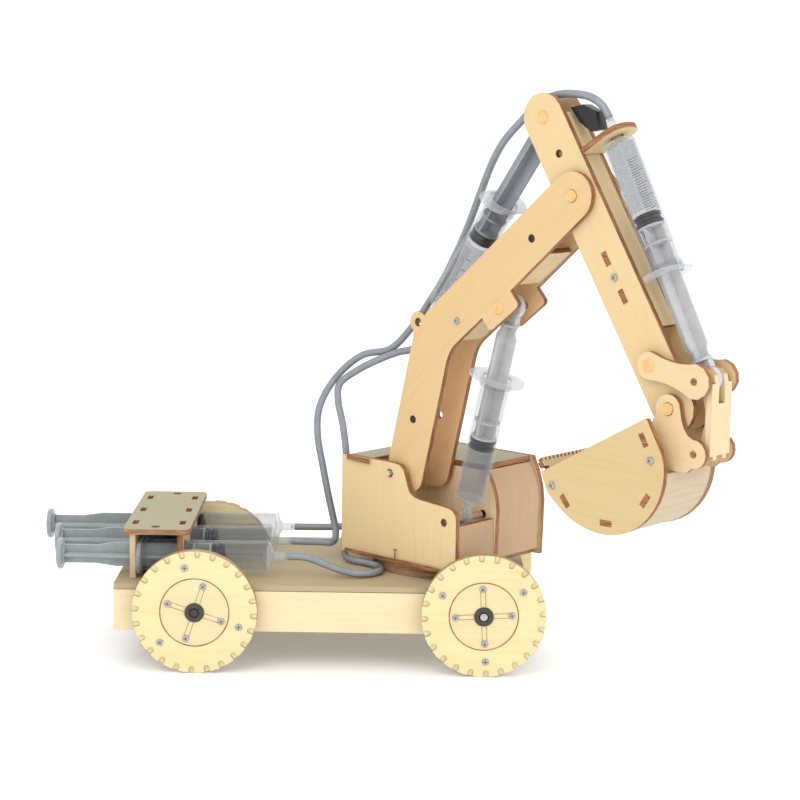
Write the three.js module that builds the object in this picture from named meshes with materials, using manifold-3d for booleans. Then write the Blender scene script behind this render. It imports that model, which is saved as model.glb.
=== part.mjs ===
// Wheeled toy excavator kit: cut plywood plates, worked by syringes joined in pairs by hoses.
// Units are millimetres, +Z is up, the chassis runs along X and its front is towards +X.
import * as THREE from "three";
import { mergeVertices } from "three/addons/utils/BufferGeometryUtils.js";
import Module from "manifold-3d";

const wasm = await Module();
wasm.setup();

// Driving sizes
const PLY = 3; // plywood thickness
const GAP = 0.3; // free space between pieces that touch
const WHEEL_R = 33.5;
const WHEEL_WIDE = 6;
const WHEEL_Y = 59.5; // inner face of a wheel
const AXLE_X = 77; // half the wheelbase
const AXLE_R = 2;
const DECK_REAR = -121;
const DECK_FRONT = 101;
const DECK_Y = 58;
const DECK_TOP = 47;
const CHASSIS_LOW = 21.5;
const SWING_X = 55; // where the turret turns
const SWING_DISC_R = 38;
const TURRET_YAW = 42; // how far the turret is turned at rest, in degrees
const TURRET_REAR = -41.5;
const TURRET_FRONT = 42.5;
const TURRET_SIDE = 37.5;
const TURRET_LOW = 53.5;
const TURRET_TOP = 108.5;
const BAY_MID = -19.75; // centre plane of the boom, measured across the turret
const BOOM_HALF = 12.5;
const STICK_HALF = 9;
const LINK_HALF = 13.2;
const HLINK_HALF = 5.6;
const BUCKET_HALF = 22.5;
const BARREL_R = 8.25;
const BARREL_BORE = 7.2;
const TUBE_LONG = 71; // shoulder to flange of every syringe
const BARREL_LONG = 82; // base pivot to flange
const SEAL_R = 6.9;
const PLUNGER_LONG = 82; // end pivot to the tip of the seal
const HOLDER_RISE = 6.5; // how much nearer its base pivot the held barrel sits
const HOSE_R = 2;
const ROUND = 16; // sides of a round piece

// Pivots in the plane of the arm, measured forwards from the swing axis and up from the ground
const A_BOOM = [-5.5, 102.5];
const S_BASE = [34, 81];
const C_LUG = [64, 198.7];
const B_STICK = [109.5, 259];
const D_BOSS = [8.7, 186.4];
const T_TOP = [87.2, 297.4];
const STICK_ANGLE = -58.5;
const R1_ALONG = 139;
const P3_ALONG = 162.5;
const HOLDER_ALONG = 27;
const HOLDER_OUT = 29.5;
const P1_LINK = [186.5, 173.8];
const P2_LINK = [187.7, 138.5];

const rad = (deg) => (deg * Math.PI) / 180;
const along = [Math.cos(rad(STICK_ANGLE)), Math.sin(rad(STICK_ANGLE))];
const stick = (d, n) => [
  T_TOP[0] + d * along[0] - n * along[1],
  T_TOP[1] + d * along[1] + n * along[0],
];
const R1_LINK = stick(R1_ALONG, 0);
const P3_BUCKET = stick(P3_ALONG, 0);
const E_HOLDER = stick(HOLDER_ALONG, HOLDER_OUT);

// Finishes
const finish = (color, roughness, metalness = 0) =>
  new THREE.MeshStandardMaterial({ color, roughness, metalness });
const birch = finish("#e9cf9c", 0.6);
const paleBirch = finish("#f3e3b0", 0.6);
const dowelWood = finish("#e9a668", 0.55);
const clear = finish("#c3ccd6", 0.25);
const plungerWhite = finish("#dfe4ea", 0.35);
const hoseGrey = finish("#9aa0a8", 0.3);
const steel = finish("#b9bcc0", 0.3, 0.9);

// Solids
function solid(geometry) {
  const g = geometry.clone();
  g.deleteAttribute("normal");
  g.deleteAttribute("uv");
  const m = mergeVertices(g, 1e-4);
  return new wasm.Manifold(
    new wasm.Mesh({
      numProp: 3,
      vertProperties: new Float32Array(m.attributes.position.array),
      triVerts: new Uint32Array(m.index.array),
    }),
  );
}
function shown(made) {
  const m = made.getMesh();
  const g = new THREE.BufferGeometry();
  const xyz = new Float32Array(m.numVert * 3);
  for (let i = 0; i < m.numVert; i++) {
    for (let k = 0; k < 3; k++) {
      xyz[i * 3 + k] = m.vertProperties[i * m.numProp + k];
    }
  }
  g.setAttribute("position", new THREE.BufferAttribute(xyz, 3));
  g.setIndex(new THREE.BufferAttribute(new Uint32Array(m.triVerts), 1));
  g.computeVertexNormals();
  return g;
}
const joined = (...parts) => shown(parts.map(solid).reduce((a, b) => a.add(b)));
function add(group, name, geometry, material) {
  const mesh = new THREE.Mesh(geometry, material);
  mesh.name = name;
  group.add(mesh);
  return mesh;
}

// Outlines
function outline(points) {
  const s = new THREE.Shape();
  s.moveTo(points[0][0], points[0][1]);
  points.slice(1).forEach((p) => {
    if (p.length === 4) s.quadraticCurveTo(p[0], p[1], p[2], p[3]);
    else s.lineTo(p[0], p[1]);
  });
  return s;
}
function round(p, r) {
  const s = new THREE.Shape();
  s.absarc(p[0], p[1], r, 0, 2 * Math.PI, false);
  return s;
}
function box2(x0, x1, y0, y1) {
  return outline([
    [x0, y0],
    [x1, y0],
    [x1, y1],
    [x0, y1],
  ]);
}
// A slot of a given length and width, turned by an angle
function slot(p, long, wide, deg) {
  const c = Math.cos(rad(deg));
  const s = Math.sin(rad(deg));
  const corner = (u, v) => [p[0] + u * c - v * s, p[1] + u * s + v * c];
  return outline([
    corner(-long / 2, -wide / 2),
    corner(long / 2, -wide / 2),
    corner(long / 2, wide / 2),
    corner(-long / 2, wide / 2),
  ]);
}
// A bar with round ends from p to q
function bar(p, q, r, r2 = r) {
  const t = Math.atan2(q[1] - p[1], q[0] - p[0]);
  const s = new THREE.Shape();
  s.absarc(p[0], p[1], r, t + Math.PI / 2, t + 1.5 * Math.PI, false);
  s.absarc(q[0], q[1], r2, t - Math.PI / 2, t + Math.PI / 2, false);
  s.closePath();
  return s;
}
function slab(shape, holes, thick, segments = 3) {
  const sheet = (s, depth, low) => {
    const g = new THREE.ExtrudeGeometry(s, {
      depth,
      bevelEnabled: false,
      curveSegments: segments,
    });
    g.translate(0, 0, low);
    return solid(g);
  };
  const cut = (made, h) => made.subtract(sheet(h, thick + 2, -1));
  return shown(holes.reduce(cut, sheet(shape, thick, 0)));
}
// An upright plate lying in the plane of the arm, between two places across the turret
function upright(shape, holes, from, to, segments = 3) {
  const g = slab(shape, holes, to - from, segments);
  g.rotateX(Math.PI / 2);
  g.translate(0, to, 0);
  return g;
}
function flat(shape, holes, low, high, segments = 3) {
  const g = slab(shape, holes, high - low, segments);
  g.translate(0, 0, low);
  return g;
}
function block(x0, x1, y0, y1, z0, z1) {
  const g = new THREE.BoxGeometry(x1 - x0, y1 - y0, z1 - z0);
  g.translate((x0 + x1) / 2, (y0 + y1) / 2, (z0 + z1) / 2);
  return g;
}
// A round pin across the arm at a pivot
function crossPin(p, r, from, to, sides = ROUND) {
  const g = new THREE.CylinderGeometry(r, r, to - from, sides);
  g.translate(p[0], (from + to) / 2, p[1]);
  return g;
}

const kit = new THREE.Group();
kit.name = "kit";
const chassis = new THREE.Group();
const turret = new THREE.Group();
turret.position.set(SWING_X, 0, 0);
turret.rotation.z = rad(-TURRET_YAW);
kit.add(chassis, turret);

// Chassis box
add(
  chassis,
  "deck",
  flat(
    box2(DECK_REAR, DECK_FRONT, -DECK_Y, DECK_Y),
    [round([SWING_X, 0], 2.5)],
    DECK_TOP - PLY,
    DECK_TOP,
  ),
  birch,
);
[
  ["side_near", -DECK_Y, -DECK_Y + PLY],
  ["side_far", DECK_Y - PLY, DECK_Y],
].forEach(([name, from, to]) => {
  add(
    chassis,
    name,
    upright(
      box2(DECK_REAR, DECK_FRONT, CHASSIS_LOW, DECK_TOP - PLY - GAP),
      [-AXLE_X, AXLE_X].map((x) => round([x, WHEEL_R], AXLE_R + GAP)),
      from,
      to,
    ),
    paleBirch,
  );
});
[
  ["end_rear", DECK_REAR],
  ["end_front", DECK_FRONT - PLY],
].forEach(([name, x]) => {
  const y = DECK_Y - PLY - GAP;
  add(
    chassis,
    name,
    block(x, x + PLY, -y, y, CHASSIS_LOW, DECK_TOP - PLY - GAP),
    paleBirch,
  );
});
const SWING_LOW = DECK_TOP + GAP;
add(
  chassis,
  "swing_ring",
  flat(
    bar([SWING_X - 0.01, 0], [SWING_X + 0.01, 0], SWING_DISC_R),
    [round([SWING_X, 0], 2.5)],
    SWING_LOW,
    SWING_LOW + PLY - 0.2,
    8,
  ),
  birch,
);

// Axles and wheels
const NOTCHES = 24;
const NOTCH_DEEP = 4.5;
function wheelOutline() {
  const s = new THREE.Shape();
  const step = 360 / NOTCHES;
  for (let i = 0; i < NOTCHES; i++) {
    const mid = -90 + (i + 0.5) * step;
    const at = (deg, r) => [r * Math.cos(rad(deg)), r * Math.sin(rad(deg))];
    const ring = [
      at(mid - 3.4, WHEEL_R),
      at(mid - 3.4, WHEEL_R - NOTCH_DEEP + 1.2),
      at(mid, WHEEL_R - NOTCH_DEEP),
      at(mid + 3.4, WHEEL_R - NOTCH_DEEP + 1.2),
      at(mid + 3.4, WHEEL_R),
    ];
    ring.forEach((p, k) => {
      if (i === 0 && k === 0) s.moveTo(p[0], p[1]);
      else s.lineTo(p[0], p[1]);
    });
  }
  s.closePath();
  return s;
}
["rear", "front"].forEach((end, i) => {
  const x = i === 0 ? -AXLE_X : AXLE_X;
  const set = new THREE.Group();
  set.position.set(x, 0, WHEEL_R);
  chassis.add(set);
  const out = WHEEL_Y + WHEEL_WIDE;
  add(set, "axle_" + end, crossPin([0, 0], AXLE_R, -out - 1.5, out + 1.5, 10), steel);
  [
    ["near", -out, -WHEEL_Y],
    ["far", WHEEL_Y, out],
  ].forEach(([side, from, to]) => {
    const wheel = upright(wheelOutline(), [round([0, 0], AXLE_R + GAP)], from, to, 4);
    add(set, "wheel_" + end + "_" + side, wheel, paleBirch);
  });
});

// Syringes. A barrel stands on its base pivot and opens upwards, then is laid in place.
const WALL = BARREL_R - BARREL_BORE;
function barrelShell(nozzleLow, long) {
  const shoulder = long - TUBE_LONG;
  const profile = [
    [0, nozzleLow],
    [2.4, nozzleLow],
    [2.4, shoulder - 2],
    [BARREL_R, shoulder],
    [BARREL_R, long],
    [BARREL_BORE, long],
    [BARREL_BORE, shoulder + WALL],
    [0, shoulder + WALL],
  ];
  const g = new THREE.LatheGeometry(
    profile.map((p) => new THREE.Vector2(p[0], p[1])),
    ROUND,
  );
  g.rotateX(Math.PI / 2);
  return g;
}
// The oval finger flange, sized along the local X and Y axes
function flange(sizeX, sizeY, long) {
  const r = Math.min(sizeX, sizeY) / 2;
  const run = [sizeX / 2 - r, sizeY / 2 - r];
  const shape = bar([-run[0], -run[1]], run, r);
  return flat(shape, [round([0, 0], BARREL_BORE)], long - 2.2, long, 8);
}
function plungerRibs(low, high) {
  return [
    block(-5.6, 5.6, -0.9, 0.9, low, high),
    block(-0.9, 0.9, -5.6, 5.6, low, high),
  ];
}
const disc = (r, low, high) => {
  const g = new THREE.CylinderGeometry(r, r, high - low, ROUND);
  g.rotateX(Math.PI / 2);
  g.translate(0, 0, (low + high) / 2);
  return g;
};
// Lays a piece made along local Z onto the line from p to q in the plane of the arm
function laid(group, name, geometry, material, p, q, start = 0) {
  const t = Math.atan2(q[1] - p[1], q[0] - p[0]);
  const mesh = add(group, name, geometry, material);
  mesh.position.set(
    p[0] + start * Math.cos(t),
    BAY_MID,
    p[1] + start * Math.sin(t),
  );
  mesh.rotation.y = Math.PI / 2 - t;
  return mesh;
}
// Distance from the base pivot to the end pivot of each syringe at rest
const reach = (p, q) => Math.hypot(q[0] - p[0], q[1] - p[1]);
const PIN_R = 1.6;
const EYE_BORE = 4; // clearance hole of a plunger's end
function slavePlunger(long) {
  // Local Z runs from the seal's tip at 0 to the end pivot
  const ribs = plungerRibs(7, long - 9);
  const eye = upright(
    bar([0, long - 9], [0, long], 5.6, 6.4),
    [round([0, long], EYE_BORE)],
    -2.2,
    2.2,
    4,
  );
  return joined(disc(SEAL_R, 0, 8), ribs[0], ribs[1], eye);
}
function slaveBarrel(collar, sizeX, sizeY) {
  const pinGeometry = crossPin([0, 0], 2, -collar, collar, 10);
  const ring = disc(4.2, -2.6, 2.6);
  const shell = barrelShell(-9, BARREL_LONG);
  return joined(shell, flange(sizeX, sizeY, BARREL_LONG), ring, pinGeometry);
}

// Control stand at the rear of the deck, with three syringes lying along X
const STAND_TOP = 75;
const STAND_X = [-117, -81];
const STAND_Y = 50.5;
const CONTROL_Y = [-37, 0, 37];
const CONTROL_Z = 58;
const FLANGE_X = -109.8;
const CONTROL_LONG = 82; // flange to the foot of the nozzle
const THUMB_X = [-154, -161, -172];
const PLATE_SLOTS = [-33, 0, 33];
const PANEL_X = [-113.5, -88]; // rear faces of the two upright panels
function rounded(x0, x1, y0, y1, r) {
  return outline([
    [x0 + r, y0],
    [x1 - r, y0],
    [x1, y0, x1, y0 + r],
    [x1, y1 - r],
    [x1, y1, x1 - r, y1],
    [x0 + r, y1],
    [x0, y1, x0, y1 - r],
    [x0, y0 + r],
    [x0 + 0.3 * r, y0 + 0.3 * r],
  ]);
}
add(
  chassis,
  "stand_plate",
  flat(
    rounded(STAND_X[0], STAND_X[1], -STAND_Y, STAND_Y, 4),
    [
      ...PLATE_SLOTS.map((y) => slot([PANEL_X[0] + 1.5, y], 9, 3.2, 90)),
      ...PLATE_SLOTS.map((y) => slot([PANEL_X[1] + 1.5, y], 9, 3.2, 90)),
      round([-100, -43.5], 2.6),
      round([-98, 44.5], 2.6),
    ],
    STAND_TOP - PLY,
    STAND_TOP,
  ),
  birch,
);
const standPanel = (bore) => {
  // Drawn across the chassis (Y) and up (Z), then turned to face along X
  const g = slab(
    box2(-48, 48, DECK_TOP + GAP, STAND_TOP - PLY - GAP),
    CONTROL_Y.map((y) => round([y, CONTROL_Z], bore)),
    PLY,
    8,
  );
  g.rotateX(Math.PI / 2);
  g.rotateZ(Math.PI / 2);
  return g;
};
const rearPanel = standPanel(7.6);
rearPanel.translate(PANEL_X[0], 0, 0);
add(chassis, "stand_panel_rear", rearPanel, birch);
const frontPanel = standPanel(BARREL_R + GAP);
frontPanel.translate(PANEL_X[1], 0, 0);
add(chassis, "stand_panel_front", frontPanel, birch);
["near", "middle", "far"].forEach((side, i) => {
  const lay = (name, geometry, material, x) => {
    const mesh = add(chassis, name, geometry, material);
    mesh.position.set(x, CONTROL_Y[i], CONTROL_Z);
    mesh.rotation.y = -Math.PI / 2;
  };
  const barrel = joined(barrelShell(2, CONTROL_LONG), flange(17, 30, CONTROL_LONG));
  lay("control_barrel_" + side, barrel, clear, FLANGE_X + CONTROL_LONG);
  const ribs = plungerRibs(7, 90);
  const plunger = joined(disc(SEAL_R, 0, 8), ribs[0], ribs[1], disc(8.5, 89, 91.5));
  lay("control_plunger_" + side, plunger, plungerWhite, THUMB_X[i] + 91.5);
});

// Turret
const panelHoles = (r) => [round(A_BOOM, r), round(S_BASE, r)];
add(
  turret,
  "turn_disc",
  flat(bar([-0.01, 0], [0.01, 0], SWING_DISC_R), [round([0, 0], 2.5)], 50.4, 53.1, 8),
  birch,
);
add(
  turret,
  "turret_floor",
  flat(
    box2(TURRET_REAR + 4, TURRET_FRONT - 4.5, -TURRET_SIDE + 3.3, TURRET_SIDE - 3.3),
    [round([0, 0], 2.5)],
    TURRET_LOW,
    TURRET_LOW + PLY,
  ),
  birch,
);
add(
  turret,
  "turret_panel_near",
  upright(
    outline([
      [TURRET_REAR, TURRET_LOW],
      [TURRET_FRONT, TURRET_LOW],
      [TURRET_FRONT, 82.5],
      [TURRET_FRONT, 89, 36, 89.3],
      [17, 90.8],
      [9, 91.5, 7.8, 96],
      [6, 101.5],
      [4.5, TURRET_TOP, -2.5, TURRET_TOP],
      [TURRET_REAR, TURRET_TOP],
    ]),
    panelHoles(2.4),
    -TURRET_SIDE,
    -TURRET_SIDE + PLY,
  ),
  birch,
);
const WALL_REAR = -40.9; // rear face of the rear wall
const cabOutline = (top, inset = 0) =>
  outline([
    [WALL_REAR + PLY + GAP, TURRET_LOW + PLY + GAP],
    [TURRET_FRONT - inset, TURRET_LOW + PLY + GAP],
    [43.5 - inset, 84],
    [43 - inset, 94, 36 - inset, top],
    [WALL_REAR + PLY + GAP, top],
  ]);
const ROOF_LOW = TURRET_TOP - PLY;
add(
  turret,
  "turret_panel_middle",
  upright(cabOutline(ROOF_LOW - GAP), panelHoles(2.4), -5, -2),
  birch,
);
const farShape = outline([
  [TURRET_REAR, TURRET_LOW],
  [TURRET_FRONT, TURRET_LOW],
  [43.5, 84],
  [43, 96, 36, TURRET_TOP],
  [TURRET_REAR, TURRET_TOP],
]);
add(
  turret,
  "turret_panel_far",
  upright(farShape, [], TURRET_SIDE - PLY, TURRET_SIDE),
  birch,
);
const WALL_LOW = TURRET_LOW + PLY + GAP;
const HOSE_DOOR = [-12, 64]; // where a hose goes in through the rear wall
const rearWall = slab(
  box2(-34.2, 34.2, TURRET_LOW + 1, ROOF_LOW - GAP),
  [round(HOSE_DOOR, 4)],
  PLY,
);
rearWall.rotateX(Math.PI / 2);
rearWall.rotateZ(Math.PI / 2);
rearWall.translate(WALL_REAR, 0, 0);
add(turret, "turret_panel_rear", rearWall, birch);
add(
  turret,
  "cab_front",
  upright(
    outline([
      [39, WALL_LOW],
      [41.6, WALL_LOW],
      [42.6, 84],
      [42.2, 95, 35.6, ROOF_LOW - GAP],
      [32.8, ROOF_LOW - GAP],
      [39.4, 95, 40, 84],
    ]),
    [],
    -1.7,
    TURRET_SIDE - PLY - GAP,
    4,
  ),
  birch,
);
add(
  turret,
  "cab_roof",
  flat(
    outline([
      [-37.6, -34.2],
      [-21, -34.2],
      [-21, -5.3],
      [34.5, -5.3],
      [34.5, 34.2],
      [-37.6, 34.2],
    ]),
    [],
    ROOF_LOW,
    TURRET_TOP,
  ),
  birch,
);
add(turret, "bay_front", block(39.2, 42.2, -34.2, -5.3, WALL_LOW, 79.5), birch);
add(turret, "boom_pin", crossPin(A_BOOM, PIN_R, -39.4, -1, 10), steel);

// Boom
const boomOutline = () => {
  const s = new THREE.Shape();
  s.moveTo(-13.2, 101);
  s.quadraticCurveTo(-14.6, 92.6, -7, 92.5);
  s.lineTo(3, 92.5);
  s.quadraticCurveTo(11.2, 92.5, 13, 99.5);
  s.lineTo(28.3, 163.4);
  s.quadraticCurveTo(29.8, 172, 34.5, 176.6);
  s.lineTo(53, 192.6);
  s.lineTo(57.5, 187.6);
  s.quadraticCurveTo(59.3, 186, 61, 187.6);
  s.lineTo(75.5, 199.4);
  s.quadraticCurveTo(77.8, 201.4, 76, 203.4);
  s.lineTo(71.6, 208.4);
  s.lineTo(B_STICK[0] + 8.1, B_STICK[1] - 9.4);
  s.absarc(B_STICK[0], B_STICK[1], 12.4, rad(-49), rad(131), false);
  s.lineTo(17.5, 195.2);
  s.quadraticCurveTo(15, 193, 13, 190.4);
  s.absarc(D_BOSS[0], D_BOSS[1], 5.8, rad(43), rad(235), false);
  s.quadraticCurveTo(5.4, 179, 4.9, 176.5);
  s.closePath();
  return s;
};
const boomHoles = (pin) => [
  round(A_BOOM, pin),
  round(B_STICK, 3.3),
  round(C_LUG, 1.9),
  round(D_BOSS, pin),
  round([84.7, 236.2], 2.2),
  round([6, 133.1], 2.2),
];
const nearFace = BAY_MID - BOOM_HALF;
const farFace = BAY_MID + BOOM_HALF;
add(
  turret,
  "boom_plate_near",
  upright(boomOutline(), boomHoles(2.4), nearFace, nearFace + PLY, 5),
  birch,
);
add(
  turret,
  "boom_plate_far",
  upright(boomOutline(), boomHoles(2.4), farFace - PLY, farFace, 5),
  birch,
);
const boomIn = BOOM_HALF - PLY - GAP;
// A spacer plate between two upright plates, along the line p to q and PLY thick to its left
function spacer(p, q, half, thick = PLY) {
  const t = Math.atan2(q[1] - p[1], q[0] - p[0]);
  const n = [-Math.sin(t) * thick, Math.cos(t) * thick];
  return upright(
    outline([p, q, [q[0] + n[0], q[1] + n[1]], [p[0] + n[0], p[1] + n[1]]]),
    [],
    BAY_MID - half,
    BAY_MID + half,
  );
}
add(turret, "boom_spacer_bend", spacer([36, 178.6], [51.5, 192], boomIn), birch);
add(turret, "boom_spacer_arm", spacer([74, 211.4], [94, 228.8], boomIn), birch);
add(
  turret,
  "stick_dowel",
  crossPin(B_STICK, 3, nearFace - 0.8, farFace + 0.8, 12),
  dowelWood,
);

// Stick
const stickIn = STICK_HALF - PLY - GAP;
const stickHoles = () => [
  round(T_TOP, 1.9),
  round(stick(21, 0), 2.2),
  round(B_STICK, 3.4),
  slot(stick(80.5, 0), 7.5, 3.2, STICK_ANGLE),
  slot(stick(101.5, 0), 7.5, 3.2, STICK_ANGLE),
  round(R1_LINK, 1.9),
  round(P3_BUCKET, 3.3),
];
const stickPlate = (from) =>
  upright(bar(T_TOP, P3_BUCKET, 12.3), stickHoles(), from, from + PLY, 4);
add(turret, "stick_plate_near", stickPlate(BAY_MID - STICK_HALF), birch);
add(turret, "stick_plate_far", stickPlate(BAY_MID + STICK_HALF - PLY), birch);
add(turret, "stick_spacer", spacer(stick(4, 9.2), stick(124, 9.2), stickIn), birch);
const holderOuter = HOLDER_OUT;
const holder = flat(
  outline([
    [12.9, -STICK_HALF],
    [holderOuter, -11],
    [holderOuter + 10, -11, holderOuter + 10, 0],
    [holderOuter + 10, 11, holderOuter, 11],
    [12.9, STICK_HALF],
  ]),
  [round([HOLDER_OUT, 0], 3.6)],
  -1.5,
  1.5,
  5,
);
const holderMesh = add(turret, "syringe_holder", holder, birch);
const holderAt = stick(HOLDER_ALONG, 0);
holderMesh.position.set(holderAt[0], BAY_MID, holderAt[1]);
holderMesh.rotation.y = rad(-90 - STICK_ANGLE);
const bracketOut = LINK_HALF + 0.9;
add(
  turret,
  "bucket_dowel",
  crossPin(P3_BUCKET, 3, BAY_MID - bracketOut, BAY_MID + bracketOut, 12),
  dowelWood,
);

// Idler links of the bucket
function idlerOutline() {
  const s = new THREE.Shape();
  const t = Math.atan2(P1_LINK[1] - R1_LINK[1], P1_LINK[0] - R1_LINK[0]);
  const at = (p, r, deg) => [
    p[0] + r * Math.cos(t + rad(deg)),
    p[1] + r * Math.sin(t + rad(deg)),
  ];
  const bend = (side, p, q) => {
    const m = at([(p[0] + q[0]) / 2, (p[1] + q[1]) / 2], 2.6, side);
    s.quadraticCurveTo(m[0], m[1], q[0], q[1]);
  };
  s.absarc(R1_LINK[0], R1_LINK[1], 7, t + rad(75), t + rad(285), false);
  bend(90, at(R1_LINK, 7, 285), at(P1_LINK, 8.8, 235));
  s.absarc(P1_LINK[0], P1_LINK[1], 8.8, t + rad(-125), t + rad(125), false);
  bend(-90, at(P1_LINK, 8.8, 125), at(R1_LINK, 7, 75));
  return s;
}
const linkHoles = () => [round(R1_LINK, 1.9), round(P1_LINK, 1.9)];
const linkPlate = (from) => upright(idlerOutline(), linkHoles(), from, from + PLY, 4);
add(turret, "idler_link_near", linkPlate(BAY_MID - LINK_HALF), birch);
add(turret, "idler_link_far", linkPlate(BAY_MID + LINK_HALF - PLY), birch);

// H-shaped link between the idler links and the bucket
const LINK_FRONT = 194.2;
const hlinkPlate = (from) =>
  upright(
    outline([
      [P2_LINK[0] - 5.6, P2_LINK[1]],
      [P2_LINK[0] - 5.6, P2_LINK[1] - 6, P2_LINK[0] + 0.4, P2_LINK[1] - 6],
      [LINK_FRONT, P2_LINK[1] - 3],
      [LINK_FRONT, P1_LINK[1] - 1],
      [P1_LINK[0] + 7, P1_LINK[1] + 6.4, P1_LINK[0], P1_LINK[1] + 6.4],
      [P1_LINK[0] - 6.4, P1_LINK[1] + 6.4, P1_LINK[0] - 6.4, P1_LINK[1]],
      [P1_LINK[0] - 6, P1_LINK[1] - 5.4, P1_LINK[0] + 0.4, P1_LINK[1] - 7.4],
      [P2_LINK[0] + 3.4, 156, P2_LINK[0] - 1, P2_LINK[1] + 6],
      [P2_LINK[0] - 5.6, P2_LINK[1] + 5, P2_LINK[0] - 5.6, P2_LINK[1]],
    ]),
    [round(P1_LINK, 4), round(P2_LINK, 2.1)],
    from,
    from + PLY,
  );
// The front web is an H: its upper arms stand either side of the plunger's eye
const webPlate = (half, from, top) =>
  block(LINK_FRONT - PLY, LINK_FRONT, BAY_MID + from, BAY_MID + half, P2_LINK[1] - 1, top);
const WEB_HALF = 8.6;
const WEB_TOP = 173;
const web = [
  webPlate(WEB_HALF, -WEB_HALF, 163),
  webPlate(-3, -WEB_HALF, WEB_TOP),
  webPlate(WEB_HALF, 3, WEB_TOP),
];
add(
  turret,
  "h_link",
  joined(
    hlinkPlate(BAY_MID - HLINK_HALF),
    hlinkPlate(BAY_MID + HLINK_HALF - PLY),
    ...web,
  ),
  birch,
);

// Bucket
const SHELL = [142, 128.5];
const SHELL_R = 35.5;
const onShell = (deg, r) => [
  SHELL[0] + r * Math.cos(rad(deg)),
  SHELL[1] + r * Math.sin(rad(deg)),
];
function bucketSide() {
  const s = new THREE.Shape();
  s.moveTo(102.6, 119.3);
  s.lineTo(106.4, 109.9);
  s.quadraticCurveTo(110, 105.8, 117.2, 100.8);
  s.quadraticCurveTo(125, 95.3, 134.3, 93.85);
  s.absarc(SHELL[0], SHELL[1], SHELL_R, rad(-102.5), rad(8), false);
  s.quadraticCurveTo(176, 138, 172.5, 143.5);
  s.lineTo(166.9, 153.6);
  s.quadraticCurveTo(166, 154.8, 164.4, 153.9);
  s.closePath();
  return s;
}
const sideHoles = () => [
  slot([118.1, 106.4], 7.2, 3.1, -51),
  slot([143.9, 99], 7.2, 3.1, 2),
  slot([167, 113.9], 7.2, 3.1, 57),
  slot([164.8, 143.8], 7.2, 3.1, -60),
];
const bucketPlate = (from) => upright(bucketSide(), sideHoles(), from, from + PLY, 7);
add(turret, "bucket_side_near", bucketPlate(BAY_MID - BUCKET_HALF), birch);
add(turret, "bucket_side_far", bucketPlate(BAY_MID + BUCKET_HALF - PLY), birch);
function shellOutline() {
  const outer = SHELL_R - 0.4;
  const inner = outer - 2.6;
  const s = new THREE.Shape();
  s.absarc(SHELL[0], SHELL[1], outer, rad(-139), rad(-0.4), false);
  s.absarc(SHELL[0], SHELL[1], inner, rad(-0.4), rad(-139), true);
  s.closePath();
  return s;
}
const bucketIn = BUCKET_HALF - PLY - GAP;
add(
  turret,
  "bucket_shell",
  upright(shellOutline(), [], BAY_MID - bucketIn, BAY_MID + bucketIn, 10),
  birch,
);
// The toothed plate stands between the sides and past the lip, where it is as wide as the bucket
const TEETH = 14;
const LIP_LOW = -3.4; // close to the end of the shell
const LIP_CORNER = 14.2; // where it leaves the side plates
const LIP_TOP = 19.2;
function toothPlate() {
  const half = BUCKET_HALF;
  const s = new THREE.Shape();
  s.moveTo(-bucketIn, LIP_LOW);
  s.lineTo(bucketIn, LIP_LOW);
  s.lineTo(bucketIn, LIP_CORNER);
  s.lineTo(half, LIP_CORNER);
  s.lineTo(half, LIP_TOP);
  const pitch = (2 * half) / TEETH;
  for (let i = 0; i < TEETH; i++) {
    s.lineTo(half - (i + 0.6) * pitch, LIP_TOP);
    s.lineTo(half - (i + 0.6) * pitch, LIP_TOP - 1.9);
    s.lineTo(half - (i + 1) * pitch, LIP_TOP - 1.9);
    if (i < TEETH - 1) s.lineTo(half - (i + 1) * pitch, LIP_TOP);
  }
  s.lineTo(-half, LIP_CORNER);
  s.lineTo(-bucketIn, LIP_CORNER);
  s.closePath();
  const g = slab(s, [], PLY);
  g.rotateX(Math.PI / 2);
  g.rotateZ(Math.PI / 2);
  return g;
}
const lip = new THREE.Group();
lip.position.set(110.6, BAY_MID, 109.2);
lip.rotation.y = rad(-36);
turret.add(lip);
add(lip, "tooth_plate", toothPlate(), birch);
function bracketOutline() {
  const s = new THREE.Shape();
  s.absarc(P3_BUCKET[0], P3_BUCKET[1], 7.4, rad(28), rad(200), false);
  s.lineTo(162.6, 150);
  s.lineTo(170.4, 132);
  s.quadraticCurveTo(171.8, 128.8, 175, 128.8);
  s.lineTo(184, 128.8);
  s.absarc(P2_LINK[0], P2_LINK[1], 7.2, rad(-95), rad(95), false);
  s.quadraticCurveTo(181, 147.5, P3_BUCKET[0] + 7, P3_BUCKET[1] + 0.5);
  s.closePath();
  return s;
}
const bracketPlate = (from) =>
  upright(
    bracketOutline(),
    [round(P3_BUCKET, 3.4), round(P2_LINK, 1.9)],
    from,
    from + PLY,
    4,
  );
add(turret, "bucket_bracket_near", bracketPlate(BAY_MID - LINK_HALF), birch);
add(turret, "bucket_bracket_far", bracketPlate(BAY_MID + LINK_HALF - PLY), birch);

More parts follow.
